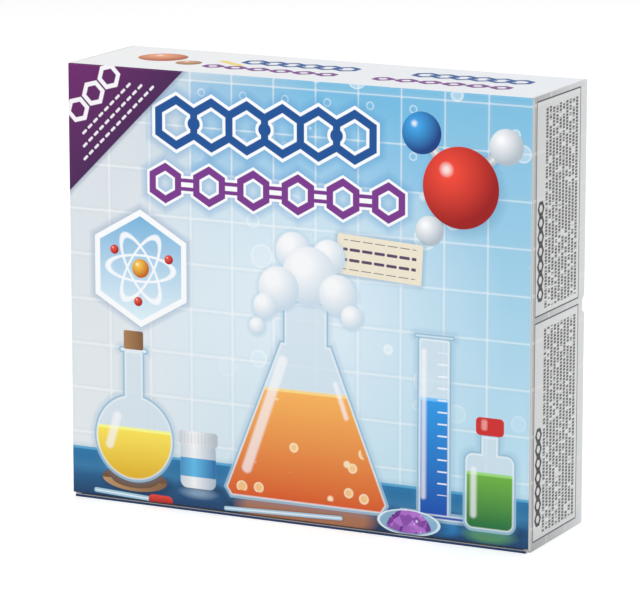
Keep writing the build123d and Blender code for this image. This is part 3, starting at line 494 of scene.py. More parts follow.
def draw_centre(picture):
    """A large conical flask that foams over, on the bench."""
    sheet = picture.sheet
    x, foot = 8.0, 13.0
    stand_on_bench(picture, x, foot, 62.0, (0.80, 0.30, 0.06))
    body = cone_flask(sheet, x, foot, 62.0, 112.0, 17.0, 140.0)
    shine = sheet.bar(x - 44.0, foot + 22.0, x - 17.0, foot + 98.0, 3.6)
    shine = shine.join(sheet.bar(x + 30.0, foot + 64.0, x + 22.0, foot + 86.0, 1.6))
    fill_vessel(picture, body, foot + 78.0, (0.70, 0.10, 0.015), (0.96, 0.46, 0.10), shine)
    bubble = picture.cells(15.0)[0] - 3.6
    room = body + 6.0
    room = room.over(sheet.side(0.0, foot + 72.0, 90.0))
    picture.put(bubble.over(room), (1.0, 0.70, 0.32), 0.75, 0.8)
    picture.put(outline(bubble, 0.9).over(room), (1.0, 0.88, 0.62), 0.8, 0.6)
    draw_foam(picture, x, foot)


def draw_sides(picture):
    """A round flask at the left, a measuring cylinder and a stoppered bottle at the right."""
    sheet = picture.sheet
    x, y = -122.0, 46.0
    bulb = sheet.disc(x, y, 31.0)
    neck = sheet.box(x, y + 42.0, 17.0, 40.0, 2.0).join(sheet.box(x, y + 61.0, 23.0, 5.0, 2.4))
    ring = Sheet(sheet.x - x, (sheet.y - 17.0) * 3.0)
    picture.put(ring.disc(3.0, -6.0, 27.0), CONTACT_BLUE, 0.5, 8.0)
    picture.put(ring.disc(0.0, 0.0, 25.0), (0.16, 0.08, 0.035))
    shine = sheet.bar(x - 19.0, y - 6.0, x - 13.0, y + 14.0, 3.0)
    fill_vessel(picture, bulb.join(neck), y + 6.0, (0.75, 0.42, 0.01), (1.0, 0.80, 0.10), shine)
    lip = outline(ring.disc(0.0, 0.0, 21.5), 7.0).over(ring.side(0.0, -2.0, 90.0))
    grain = mix(sheet.x.ramp(x - 22.0, x + 25.0), (0.50, 0.29, 0.13), (0.22, 0.11, 0.045))
    picture.put(lip, grain)
    cork = sheet.box(x, y + 68.0, 15.0, 13.0, 1.5)
    picture.put(cork, mix(sheet.x.ramp(x - 8.0, x + 8.0), (0.42, 0.22, 0.09), (0.20, 0.09, 0.03)))

    x = 102.0
    stand_on_bench(picture, x, 15.0, 25.0, (0.03, 0.36, 0.85))
    tube = sheet.box(x, 77.0, 25.0, 122.0, 3.0).join(sheet.box(x, 17.0, 50.0, 7.0, 2.0))
    tube = tube.join(sheet.box(x, 138.0, 30.0, 4.0, 1.8))
    shine = sheet.bar(x - 7.5, 30.0, x - 7.5, 128.0, 1.7)
    fill_vessel(picture, tube, 96.0, (0.0, 0.06, 0.40), (0.02, 0.32, 0.80), shine)
    ticks = Sheet(sheet.x, sheet.y.repeat(8.0)).box(x + 6.0, 0.0, 7.0, 1.0, 0.4)
    picture.put(ticks.over(sheet.box(x, 80.0, 25.0, 96.0)), (0.95, 0.97, 1.0), 0.9, 0.4)

    x = 142.0
    stand_on_bench(picture, x, 13.0, 20.0, (0.16, 0.50, 0.10))
    flask = sheet.box(x, 38.0, 38.0, 54.0, 7.0).join(sheet.box(x, 68.0, 15.0, 18.0, 2.0))
    shine = sheet.bar(x - 11.5, 22.0, x - 11.5, 52.0, 2.2)
    fill_vessel(picture, flask, 50.0, (0.01, 0.16, 0.04), (0.16, 0.46, 0.05), shine)
    picture.put(sheet.box(x, 82.0, 20.0, 12.0, 3.0), (0.62, 0.02, 0.02))
    picture.put(sheet.box(x - 4.0, 83.0, 4.0, 7.0, 1.5), (0.95, 0.50, 0.45), 0.6, 1.5)


# %% [markdown]
# Small things fill the bench between the vessels: a lidded jar, a dish of crystals, a dropper and
# a glass rod. What is seen from a little above needs an oval, which is a disc on a flattened sheet.

# %% Small things on the bench
def draw_jar(picture, x, foot):
    sheet = picture.sheet
    stand_on_bench(picture, x, foot, 13.0, (0.45, 0.62, 0.78))
    round_side = (sheet.x - x).ramp(-13.0, 13.0)
    sheen = (round_side - 0.38).math("ABSOLUTE").ramp(0.6, 0.0)
    body = sheet.box(x, foot + 15.0, 27.0, 32.0, 5.0)
    picture.put(body, mix(sheen, (0.42, 0.52, 0.62), (0.93, 0.94, 0.95)))
    band = sheet.box(x, foot + 13.5, 27.0, 13.0, 0.5)
    picture.put(band, mix(sheen, (0.02, 0.16, 0.40), (0.12, 0.50, 0.82)))
    cap = sheet.box(x, foot + 33.5, 30.0, 10.0, 2.5)
    picture.put(cap, mix(sheen, (0.48, 0.54, 0.60), (0.95, 0.95, 0.96)))
    ridges = (sheet.x.repeat(2.6)).math("ABSOLUTE") - 0.4
    picture.put(ridges.over(cap + 1.6), (0.45, 0.52, 0.60), 0.4, 0.6)


def draw_dish(picture, x, foot):
    """A shallow dish with a heap of violet crystals."""
    sheet = picture.sheet
    flat = Sheet(sheet.x - x, (sheet.y - foot) * 2.6)
    picture.put(flat.disc(3.0, -4.0, 25.0), CONTACT_BLUE, 0.5, 8.0)
    picture.put(flat.disc(0.0, 0.0, 23.0), (0.35, 0.62, 0.80), 0.7)
    seeds, tint = picture.cells(5.2)
    above_rim = flat.disc(0.0, 0.0, 19.0).join(sheet.side(0.0, foot + 2.0, 270.0))
    heap = sheet.disc(x, foot - 8.0, 17.0).over(above_rim)
    shade = tint.node("ShaderNodeSeparateColor", tint)
    picture.put(heap, mix(shade, (0.14, 0.02, 0.26), (0.52, 0.20, 0.70)))
    picture.put((seeds - 0.9).over(heap), (0.88, 0.75, 0.97), 0.85, 0.5)
    picture.put(outline(flat.disc(0.0, 0.0, 22.0), 2.0), (0.85, 0.94, 0.99), 0.85, 0.8)


def draw_small_things(picture):
    sheet = picture.sheet
    draw_jar(picture, -73.0, 17.0)
    draw_dish(picture, 84.0, 11.0)
    for x1, y1, x2, y2, radius in ((-152.0, 6.5, -104.0, 4.5, 1.7), (-52.0, 5.0, 34.0, 8.0, 1.5)):
        rod = sheet.bar(x1, y1, x2, y2, radius)
        picture.put(rod - 0.4, CONTACT_BLUE, 0.4, 2.0)
        picture.put(rod, (0.42, 0.70, 0.88), 0.9)
        picture.put(rod + radius * 0.75, (0.97, 0.99, 1.0), 0.9, 0.6)
    bulb = sheet.bar(-108.0, 4.8, -96.0, 4.6, 3.4)
    picture.put(bulb, mix(sheet.y.ramp(1.0, 8.0), (0.25, 0.0, 0.005), (0.85, 0.06, 0.04)))


# %% [markdown]
# The big coloured balls are a molecule model. A ball looks round because it is shaded: its colour
# runs from a highlight, off centre, to a dark rim. The same ramp serves every ball, those of the
# little atom in the window too.

# %% Molecule and atom
BALL_RED = ((0.33, 0.0, 0.0), (0.92, 0.06, 0.03))
BALL_WHITE = ((0.45, 0.52, 0.58), (0.97, 0.98, 1.0))
BALL_BLUE = ((0.0, 0.04, 0.22), (0.05, 0.40, 0.85))
BALL_SHADOW = (0.08, 0.25, 0.45)


def draw_ball(picture, x, y, radius, dark, light):
    sheet = picture.sheet
    ball = sheet.disc(x, y, radius)
    lit = sheet.disc(x - radius * 0.32, y + radius * 0.36, 0.0).ramp(radius * 1.25, radius * 0.1)
    picture.put(ball, mix(lit, dark, light))
    spark = sheet.disc(x - radius * 0.38, y + radius * 0.42, radius * 0.13)
    picture.put(spark, GLARE, 0.75, radius * 0.16)


def draw_molecule(picture):
    sheet = picture.sheet
    middle, white, blue, small = (120.0, 238.0), (152.0, 267.0), (92.0, 272.0), (98.0, 208.0)
    for end in (white, blue, small):
        stick = sheet.bar(*middle, *end, 3.4)
        picture.put(stick - 0.8, BALL_SHADOW, 0.4, 4.0)
        picture.put(stick, (0.55, 0.58, 0.62))
        picture.put(stick + 2.2, (0.88, 0.90, 0.92), 0.8, 1.4)
    picture.put(sheet.disc(middle[0] + 2.0, middle[1] - 3.0, 28.0), BALL_SHADOW, 0.4, 9.0)
    draw_ball(picture, *middle, 27.0, *BALL_RED)
    draw_ball(picture, *white, 12.0, *BALL_WHITE)
    draw_ball(picture, *blue, 14.0, *BALL_BLUE)
    draw_ball(picture, *small, 10.0, *BALL_WHITE)


def draw_inset(picture):
    """A white-edged hexagon window over the round flask, with an atom and its three orbits."""
    x, y = -116.0, 164.0
    here = picture.sheet.moved(x, y)
    window = here.hexagon(33.0) - 2.0
    picture.put(window - 2.0, (0.02, 0.16, 0.40), 0.45, 6.0)
    picture.put(window, (0.97, 0.98, 0.99))
    depth = here.y.ramp(-38.0, 38.0)
    picture.put(window + 4.0, mix(depth, (0.76, 0.90, 0.96), (0.16, 0.44, 0.72)))
    for degrees in (0.0, 60.0, 120.0):
        tilted = picture.sheet.moved(x, y, degrees)
        orbit = Sheet(tilted.x * 0.36, tilted.y).disc(0.0, 0.0, 9.0)
        picture.put(outline(orbit, 1.6).over(window + 5.0), (0.95, 0.97, 1.0), 0.95, 0.5)
    draw_ball(picture, x, y, 6.5, (0.55, 0.12, 0.0), (1.0, 0.62, 0.08))
    for degrees in (20.0, 150.0, 265.0):
        a = math.radians(degrees)
        spot = x + 23.0 * math.cos(a), y + 23.0 * math.sin(a)
        draw_ball(picture, *spot, 3.2, (0.40, 0.0, 0.0), (0.90, 0.10, 0.05))


# %% [markdown]
# A cream note and the assembled front. The order of the calls is the order of the layers: what is
# drawn later lies on top, so the bench comes before what stands on it and the corner comes last.

# %% Note and the whole front
def draw_note(picture):
    """A paper note with rows of plain dashes where small print would be."""
    paper = picture.sheet.moved(62.0, 186.0, -3.0)
    edge = paper.box(0.0, 0.0, 62.0, 27.0, 1.0)
    picture.put(edge - 1.0, (0.05, 0.20, 0.40), 0.5, 5.0)
    picture.put(edge, (0.87, 0.80, 0.64))
    rows = Sheet(paper.x.repeat(9.0), (paper.y + 3.5).repeat(7.0)).box(0.0, 0.0, 7.6, 2.0, 0.8)
    picture.put(rows.over(paper.box(0.0, 0.0, 53.0, 20.0, 1.0)), (0.10, 0.05, 0.12))


def draw_front(place):
    x, _, z = split(place, 1 / MM)
    sheet = Sheet(x, z)
    picture = draw_wall(sheet, place)
    seeds, tint = picture.cells(24.0)
    size = tint.node("ShaderNodeSeparateColor", tint).ramp(0.35, 1.0) * 8.0
    bubble = seeds - size
    sky = sheet.x.ramp(-90.0, -20.0) * sheet.y.ramp(60.0, 120.0)
    picture.put(bubble, (0.80, 0.92, 0.98), sky * 0.35, 1.2)
    picture.put(outline(bubble, 0.9), (0.97, 0.99, 1.0), sky * 0.55, 0.8)
    draw_bench(picture)
    draw_molecule(picture)
    draw_sides(picture)
    draw_inset(picture)
    draw_titles(picture)
    draw_note(picture)
    draw_centre(picture)
    draw_small_things(picture)
    draw_corner(picture)
    return picture.colour


# %% [markdown]
# ## The other printed faces
# Each side carries two thin frames filled with rows of small print that runs up the case. Here the
# rows are plain blocks. Noise along each row, cut at a threshold, breaks it into word lengths, and
# narrow gaps at a fixed pitch break a word into letter widths.

# %% Sides
WORD_GAP_NOISE = 0.63
ROW_SEED_STEP = 7.31
BLOCK_PITCH_MM = 2.2
BLOCK_HALF_MM = 0.82
BLOCK_STAGGER_MM = 0.83


def dashes(sheet, rows, row_height, word=3.4):
    """Rows of plain blocks along x, one row every `rows` millimetres of y."""
    number = (sheet.y / rows).math("ROUND")
    seed = sheet.x.node("ShaderNodeCombineXYZ", sheet.x / word, number * ROW_SEED_STEP)
    gaps = noise(seed, 1.0, 0.0) - WORD_GAP_NOISE
    strip = Sheet(sheet.x, sheet.y.repeat(rows)).y.math("ABSOLUTE") - row_height / 2
    shifted = (sheet.x + number * BLOCK_STAGGER_MM).repeat(BLOCK_PITCH_MM)
    letters = shifted.math("ABSOLUTE") - BLOCK_HALF_MM
    return strip.over(gaps * 12.0).over(letters)


def draw_side(place):
    """Seen with the reader's head tilted: x runs up the case and y runs from back to front."""
    _, y, z = split(place, 1 / MM)
    sheet = Sheet(z, -y)
    # Painted shade: the white side is painted darker towards its front edge and lighter towards the
    # back.
    ground = mix(y.ramp(-DEPTH_MM / 2, DEPTH_MM / 2), (0.44, 0.45, 0.46), (0.82, 0.84, 0.86))
    picture = Picture(sheet, ground)
    picture.put(outline(draw_tiles(sheet), 1.0), (0.88, 0.90, 0.93), 0.5, 0.8)
    front, back = DEPTH_MM / 2 - 7.0, -DEPTH_MM / 2 + 11.7
    middle, width = (front + back) / 2, front - back
    for low, high in ((6.0, 151.4), (156.0, 296.5)):
        centre, length = (low + high) / 2, high - low
        box = sheet.box(centre, middle, length, width, 0.2)
        picture.put(box, (0.86, 0.86, 0.86), 0.7)
        picture.put(outline(box, 0.9), (0.01, 0.01, 0.012), 1.0, 0.3)
        heading = Sheet((sheet.x - low - 42.0).copies(9.4, 7), sheet.y - front + 7.8).hexagon(3.6)
        picture.put(outline(heading, 2.4), (0.008, 0.008, 0.01))
        lines = dashes(sheet.moved(0.0, back + 6.0), 5.4, 3.6)
        room = sheet.box(centre - 1.0, middle - 5.4, length - 9.0, width - 17.4, 0.2)
        picture.put(lines.over(room), (0.015, 0.015, 0.017), 0.92, 0.3)
    return picture.colour


# %% [markdown]
# The top repeats the title's chains in a row, small enough to read from above. The back is a plain
# information panel: a pale field in a blue border, rows of blocks, and four framed flasks, each in
# one ink. One loop draws all four, so their frames and pitch can't drift apart.

# %% Top and back
def draw_top(place):
    x, y, _ = split(place, 1 / MM)
    sheet = Sheet(x, y)
    picture = Picture(sheet, mix(x.ramp(-150.0, 150.0), (0.90, 0.91, 0.92), (0.84, 0.87, 0.91)))
    chains = ((6.0, 13.0, 13.6, INK_BLUE, 6.8), (-4.0, -14.0, 17.0, INK_PURPLE, 5.0))
    for start in (-30.0, 96.0):
        for shift, row, pitch, ink, radius in chains:
            here = sheet.moved(start + shift, row)
            cell = Sheet(here.x.copies(pitch, 6), here.y)
            bond = Sheet(here.x.copies(pitch, 5), here.y).box(0.0, 0.0, 8.0, 3.6, 0.8)
            picture.put(outline(cell.hexagon(radius), 4.0).join(bond), ink)
    draw_ball(picture, -125.0, 6.0, 17.0, (0.45, 0.10, 0.03), (0.95, 0.42, 0.22))
    draw_ball(picture, -98.0, -8.0, 9.0, (0.30, 0.14, 0.06), (0.75, 0.42, 0.22))
    picture.put(sheet.bar(-80.0, 8.0, -62.0, -4.0, 3.0), (0.90, 0.70, 0.20))
    return picture.colour


FRAME_COLOURS = ((0.85, 0.12, 0.06), (0.95, 0.66, 0.08), (0.10, 0.50, 0.16), (0.22, 0.05, 0.30))


def draw_back(place):
    """A blue border, a large pale panel, rows of blocks and four framed flasks."""
    x, _, z = split(place, 1 / MM)
    sheet = Sheet(-x, z)
    picture = Picture(sheet, mix(z.ramp(0.0, HEIGHT_MM), (0.06, 0.30, 0.58), (0.40, 0.70, 0.88)))
    picture.put(sheet.box(0.0, 160.0, 316.0, 250.0, 8.0), (0.90, 0.93, 0.95))
    hexes = Sheet(sheet.x.repeat(28.0), sheet.y.repeat(48.5)).hexagon(13.0)
    field = sheet.box(0.0, 160.0, 300.0, 234.0, 8.0)
    picture.put(outline(hexes, 0.9).over(field), (0.55, 0.75, 0.88), 0.5)
    for number, colour in enumerate(FRAME_COLOURS):
        centre = -114.0 + 76.0 * number
        picture.put(sheet.box(centre, 110.0, 66.0, 88.0, 4.0), colour)
        picture.put(sheet.box(centre, 110.0, 61.0, 83.0, 3.0), (0.80, 0.90, 0.95))
        body = cone_flask(sheet, centre, 78.0, 21.0, 36.0, 7.0, 50.0)
        picture.put(body, (0.95, 0.97, 0.98))
        picture.put((body + 1.6).over(sheet.side(0.0, 104.0, 90.0)), colour)
    rows = dashes(sheet.moved(0.0, 40.0), 8.0, 2.6, 5.0)
    picture.put(rows.over(sheet.box(0.0, 220.0, 280.0, 96.0, 1.0)), (0.10, 0.16, 0.28), 0.8)
    return picture.colour


# %% [markdown]
# ## Corrugated board
# A folding case is cut from E-flute board: two flat papers with a fine wave between them. On a
# flat face the wave only just shows, as a faint ripple under the gloss. On a cut edge it shows
# plainly, as a pale grey line with the wave's shadows in it. Faces could be given materials one by
# one, but here one material holds both, and the direction that each point faces chooses.

# %% Board materials
FLUTE_MM = 3.2


def board_material(name, draw, face, roughness=0.42, coat=0.10, wave_along="z", fold=None):
    """Printed board. `face` is the direction of the printed face, as an axis index and a sign.
    The print runs on round a fold, so edges that face along the `fold` axis show no raw board."""
    material, shader, place, facing = new_material(name, roughness, coat=coat, gloss=0.25)
    spots = split(place, 1 / MM)
    turns = split(facing)
    axis, sign = face
    outward = turns[axis] * sign
    printed = outward.ramp(0.35, 0.5)
    if fold is not None:
        printed = printed.over((turns[fold].math("ABSOLUTE") + outward * 0.5).ramp(0.6, 0.75))
    inner = (turns[axis] * -sign).ramp(0.5, 0.65)
    along = spots[{"x": 0, "y": 1, "z": 2}[wave_along]]
    wave = (along * (2 * math.pi / FLUTE_MM)).math("SINE")
    fibre = noise(place, 900.0, 4.0)
    raw = mix(fibre.ramp(0.35, 0.7), (0.62, 0.60, 0.57), (0.84, 0.83, 0.81))
    raw = mix((wave.ramp(-0.2, 0.9)) * 0.22, raw, (0.38, 0.36, 0.33))
    liner = mix(noise(place, 420.0, 5.0).ramp(0.25, 0.8), (0.74, 0.73, 0.71), (0.80, 0.79, 0.78))
    colour = mix(inner, raw, liner)
    colour = mix(printed, colour, draw(place))
    set_socket(shader, "Base Color", colour)
    rough = mix(printed, (0.85, 0.85, 0.85), (roughness, roughness, roughness))
    grain = noise(place, 55.0, 2.0).ramp(0.2, 0.8)
    set_socket(shader, "Roughness", rough.node("ShaderNodeRGBToBW", rough) + grain * 0.06)
    set_socket(shader, "Coat Weight", printed * coat)
    ripple = wave * 0.10 + noise(place, 700.0, 3.0) * 0.25 + noise(place, 14.0, 2.0) * 1.6
    set_bump(shader, ripple, 0.00025, 0.35)
    return material


def plain_print(low, high):
    """Unprinted white board, a little uneven."""
    return lambda place: mix(noise(place, 18.0, 3.0), low, high)


def draw_foot(place):
    """White board below, with the dark blue of the bench running on round the front fold."""
    _, y, _ = split(place, 1 / MM)
    return mix((y + DEPTH_MM / 2 - 4.0).mask(), WHITE_BOARD(place), BENCH_FOOT)


def assign(node, material):
    mesh = NODES[node].data
    mesh.materials.clear()
    mesh.materials.append(material)


WHITE_BOARD = plain_print((0.74, 0.75, 0.76), (0.80, 0.81, 0.82))
assign("lid_panel", board_material("front_print", draw_front, (1, -1), wave_along="x", fold=2))
assign("side_wall_right", board_material("right_print", draw_side, (0, 1), wave_along="y"))
assign("side_wall_left", board_material("left_print", draw_side, (0, -1), wave_along="y"))
assign("hinge_wall", board_material("top_print", draw_top, (2, 1), wave_along="x", fold=1))
assign("base_panel", board_material("back_print", draw_back, (1, 1), wave_along="x"))
assign("front_wall", board_material("foot_print", draw_foot, (2, -1), wave_along="x", fold=1))
assign("tuck_flap", board_material("flap_print", draw_foot, (2, -1), wave_along="x", fold=1))
UNCOATED = {"roughness": 0.6, "coat": 0.0, "wave_along": "y"}
for side, sign in (("left", -1), ("right", 1)):
    liner = board_material(f"liner_{side}", WHITE_BOARD, (0, -sign), **UNCOATED)
    assign(f"side_liner_{side}", liner)
for end in ("top", "bottom"):
    flaps = board_material(f"flaps_{end}", WHITE_BOARD, (0, 1), **UNCOATED)
    assign(f"corner_flaps_{end}", flaps)
print("board materials:", len(bpy.data.materials))


# %% [markdown]
# ## Plastics, rubber and glass
# Thin clear plastic hardly bends light and shows mostly its reflections, so it is made with much
# transmission, low refraction and a faint tint. Moulded plastic is evenly coloured, so a slight
# drift in tone and a fine grain are all that keep it from looking like paint.

# %% Plastic and rubber
def moulded(name, colour, roughness=0.35, coat=0.2, grain=900.0, variation=0.08, bump=0.15):
    material, shader, place, _ = new_material(name, roughness, coat=coat)
    tone = noise(place, 35.0, 3.0)
    darker = tuple(c * (1.0 - variation) for c in colour)
    lighter = tuple(min(1.0, c * (1.0 + variation) + 0.01) for c in colour)
    set_socket(shader, "Base Color", mix(tone, darker, lighter))
    set_socket(shader, "Roughness", noise(place, 120.0, 3.0) * 0.12 + (roughness - 0.06))
    set_bump(shader, noise(place, grain, 2.0), 0.0001, bump)
    return material


def clear(name, tint=(0.93, 0.96, 0.98), roughness=0.06):
    material, shader, place, _ = new_material(name, roughness, coat=0.3)
    shader.inputs["Transmission Weight"].default_value = 0.75
    shader.inputs["IOR"].default_value = 1.2
    smear = noise(place, 60.0, 3.0)
    set_socket(shader, "Base Color", mix(smear, tint, tuple(min(1.0, c + 0.03) for c in tint)))
    set_socket(shader, "Roughness", smear * 0.06 + roughness)
    set_bump(shader, noise(place, 160.0, 2.0), 0.00008, 0.2)
    return material


TRAY = moulded("tray_plastic", (0.82, 0.84, 0.86), 0.28, 0.3, grain=300.0, variation=0.03)
assign("insert_tray", TRAY)
assign("tube_rack", moulded("red_plastic", (0.55, 0.008, 0.012), 0.30, 0.35))
CLEAR = clear("clear_plastic")
for number in (1, 2, 3):
    assign(f"test_tube_{number}", CLEAR)
BLACK_RUBBER = moulded(
    "black_rubber", (0.012, 0.012, 0.013), 0.6, 0.0, grain=1500.0, variation=0.3, bump=0.4
)
for name in ("stopper_1", "stopper_2", "stopper_3", "plunger_seal"):
    assign(name, BLACK_RUBBER)
for name in ("beaker", "petri_dish", "petri_lid", "syringe_barrel", "goggles_lens"):
    assign(name, CLEAR)
assign("pipette", clear("milky_plastic", (0.90, 0.93, 0.94), 0.25))
WHITE_PLASTIC = moulded("white_plastic", (0.80, 0.80, 0.79), 0.32, 0.2)
for name in ("white_pot", "red_pot", "blue_pot", "white_pot_cap"):
    assign(name, WHITE_PLASTIC)
for name in ("syringe_plunger", "funnel", "measuring_spoon"):
    assign(name, WHITE_PLASTIC)
assign("red_pot_cap", moulded("red_cap", (0.55, 0.012, 0.015), 0.35))
assign("blue_pot_cap", moulded("blue_cap", (0.01, 0.06, 0.42), 0.35))
BLUE_PLASTIC = moulded("blue_plastic", (0.01, 0.13, 0.45), 0.4)
assign("tweezers_fixed_arm", BLUE_PLASTIC)
assign("tweezers_moving_arm", BLUE_PLASTIC)
assign("goggles_frame", moulded("soft_vinyl", (0.02, 0.16, 0.42), 0.45, 0.1, grain=500.0))
print("with plastics:", len(bpy.data.materials), "materials")


# %% [markdown]
# ## Straw and booklet
# The straw's stripe winds round it. The angle round its axis plus a share of the height gives a
# value that is constant along the winding, so one band of that value is the whole stripe. The pages
# show only as fine lines at the booklet's edge, and a sine along the stack draws them.

# %% Straw and booklet
STRIPE_PITCH_MM = 14.0
PAGE_LINES_PER_MM = 8.0
COVER_HEIGHT_MM = 212.0


def striped_straw():
    """White plastic with a red stripe wound round it."""
    material, shader, place, _ = new_material("striped_straw", 0.3, coat=0.3)
    low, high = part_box("straw")
    centre = (low + high) / 2
    away = place.vector("SUBTRACT", tuple(centre))
    x, y, z = split(away, 1 / MM)
    turn = y.math("ARCTAN2", x) / (2 * math.pi)
    stripe = (z / STRIPE_PITCH_MM + turn).math("FRACT")
    band = (stripe - 0.5).math("ABSOLUTE").ramp(0.22, 0.24)
    set_socket(shader, "Base Color", mix(band, (0.85, 0.85, 0.84), (0.70, 0.02, 0.03)))
    set_bump(shader, noise(place, 400.0, 2.0), 0.0001, 0.1)
    return material


def paper_stack():
    """The edge of a block of pages: fine lines between sheets."""
    material, shader, place, _ = new_material("paper_stack", 0.8)
    sheets = (split(place, 1 / MM)[1] * PAGE_LINES_PER_MM).math("SINE").ramp(-1.0, 1.0)
    set_socket(shader, "Base Color", mix(sheets * 0.5, (0.86, 0.85, 0.81), (0.60, 0.59, 0.56)))
    set_bump(shader, sheets, 0.0001, 0.5)
    return material


def draw_cover(place):
    x, _, z = split(place, 1 / MM)
    sheet = Sheet(x, z)
    sky = mix(z.ramp(0.0, COVER_HEIGHT_MM), (0.04, 0.22, 0.50), (0.30, 0.62, 0.84))
    picture = Picture(sheet, sky)
    cell = Sheet(sheet.x.repeat(24.0), sheet.y - 168.0)
    row = sheet.box(0.0, 168.0, 122.0, 34.0)
    picture.raised(outline(cell.hexagon(12.0), 4.0).over(row), INK_BLUE)
    body = cone_flask(sheet, 0.0, 28.0, 46.0, 78.0, 12.0, 100.0)
    shine = sheet.bar(-32.0, 44.0, -14.0, 92.0, 2.6)
    fill_vessel(picture, body, 84.0, (0.70, 0.10, 0.015), (0.96, 0.46, 0.10), shine)
    return picture.colour


assign("straw", striped_straw())
assign("booklet_pages", paper_stack())
assign("booklet_cover", board_material("cover_print", draw_cover, (1, -1), 0.25, 0.6))
print("with straw and booklet:", len(bpy.data.materials), "materials")


# %% [markdown]
# ## Soft pieces
# The strap is woven elastic and the balloon is thin rubber, empty and lying flat. Both are plain
# solids in CAD, so each gets a piece of its own. A cloth simulation would suit a hanging strap or
# a filled balloon, but these are packed and still, so points along a route give the shape directly.

# %% Mesh helper
def new_piece(name, verts, faces, material, body, *replaced, smooth=True):
    mesh = bpy.data.meshes.new(name)
    mesh.from_pydata(verts, [], faces)
    mesh.validate()
    tidy = bmesh.new()
    tidy.from_mesh(mesh)
    bmesh.ops.recalc_face_normals(tidy, faces=tidy.faces)
    tidy.to_mesh(mesh)
    tidy.free()
    piece = bpy.data.objects.new(name, mesh)
    bpy.context.collection.objects.link(piece)
    mesh.materials.append(material)
    if smooth:
        mesh.polygons.foreach_set("use_smooth", [True] * len(mesh.polygons))
    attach(piece, body)
    if replaced:
        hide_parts(*replaced)
    print(name, len(mesh.polygons), "faces")
    return piece


def grid_faces(rings, points):
    """Quads between neighbouring rings, each of which closes on itself."""
    faces = []
    for ring in range(rings - 1):
        here, beyond = ring * points, (ring + 1) * points
        for p in range(points):
            q = (p + 1) % points
            faces.append((here + p, here + q, beyond + q, beyond + p))
    return faces


# %% [markdown]
# The strap follows the route that its solid takes: along one lug, round two bends behind the frame
# and back to the other lug. Its cross-section has seven raised ribs on the outside, as woven
# elastic has, and it waves a little between the bends.

# %% Strap
STRAP_RIBS = 7
RIB_POINTS = 6
RIB_MM = 0.22
STILL_POINTS = 14
BEND_STEPS = 8


def strap_bend(x, y, radius, start):
    """A quarter turn, clockwise from the start angle, about the middle x, y."""
    turn = []
    for i in range(BEND_STEPS + 1):
        a = start - math.pi / 2 * i / BEND_STEPS
        out = (math.cos(a), math.sin(a))
        turn.append(((x + radius * out[0], y + radius * out[1]), out))
    return turn


def strap_route():
    """The strap's middle line from above, with the outward direction at each point."""
    low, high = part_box("goggles_strap")
    thick = 1.6 * MM
    x0, x1 = low.x + thick / 2, high.x - thick / 2
    y0, y1 = low.y + 0.4 * MM, high.y - thick / 2
    bend = 5.2 * MM
    points = []
    for i in range(5):
        points.append(((x0, y0 + (y1 - bend - y0) * i / 5), (-1.0, 0.0)))
    points += strap_bend(x0 + bend, y1 - bend, bend, math.pi)
    steps = 60
    for i in range(1, steps):
        points.append(((x0 + bend + (x1 - x0 - 2 * bend) * i / steps, y1), (0.0, 1.0)))
    points += strap_bend(x1 - bend, y1 - bend, bend, math.pi / 2)
    for i in range(1, 6):
        points.append(((x1, y1 - bend - (y1 - bend - y0) * i / 5), (1.0, 0.0)))
    return points, low.z, high.z


def woven_elastic():
    material, shader, place, _ = new_material("woven_elastic", 0.9)
    x, y, z = split(place, 1 / MM)
    weft = ((x + y) * 5.0).math("SINE").ramp(-1.0, 1.0)
    warp = (z * 7.0).math("SINE").ramp(-1.0, 1.0)
    thread = weft * 0.5 + warp * 0.5
    set_socket(shader, "Base Color", mix(thread, (0.008, 0.009, 0.012), (0.035, 0.037, 0.045)))
    set_bump(shader, thread, 0.0002, 0.6)
    return material


def make_strap():
    route, low, high = strap_route()
    thick = 1.3 * MM
    profile = []
    for i in range(STRAP_RIBS * RIB_POINTS + 1):
        share = i / (STRAP_RIBS * RIB_POINTS)
        rib = abs(math.sin(math.pi * STRAP_RIBS * share))
        swell = RIB_MM * MM * rib if 0 < share < 1 else 0.0
        profile.append((thick / 2 + swell - 0.15 * MM, low + (high - low) * share))
    profile += [(-thick / 2, high), (-thick / 2, low)]
    verts = []
    for number, ((x, y), (nx, ny)) in enumerate(route):
        between_bends = STILL_POINTS < number < len(route) - STILL_POINTS
        wave = 0.25 * MM * math.sin(number * 0.55) if between_bends else 0.0
        for out, z in profile:
            verts.append((x + nx * (out - abs(wave)), y + ny * (out - abs(wave)), z))
    faces = grid_faces(len(route), len(profile))
    faces.append(tuple(range(len(profile))))
    faces.append(tuple(range(len(verts) - len(profile), len(verts))))
    elastic = woven_elastic()
    piece = new_piece("strap", verts, faces, elastic, "case", "goggles_strap", smooth=False)


make_strap()


# %% [markdown]
# The balloon's outline is a half circle that tapers into a neck, with a rolled ring at the end.
# Each station along it is an ellipse as thin as the flat skin, so the piece is crowned in the
# middle and its edges are round. Fine wrinkles gather toward the neck.

# %% Balloon
def thin_rubber():
    material, shader, place, _ = new_material("thin_rubber", 0.38, coat=0.15)
    cloud = noise(place, 120.0, 4.0)
    set_socket(shader, "Base Color", mix(cloud, (0.42, 0.004, 0.006), (0.62, 0.014, 0.012)))
    set_socket(shader, "Roughness", cloud * 0.2 + 0.3)
    set_bump(shader, noise(place, 380.0, 4.0), 0.0003, 0.4)
    return material


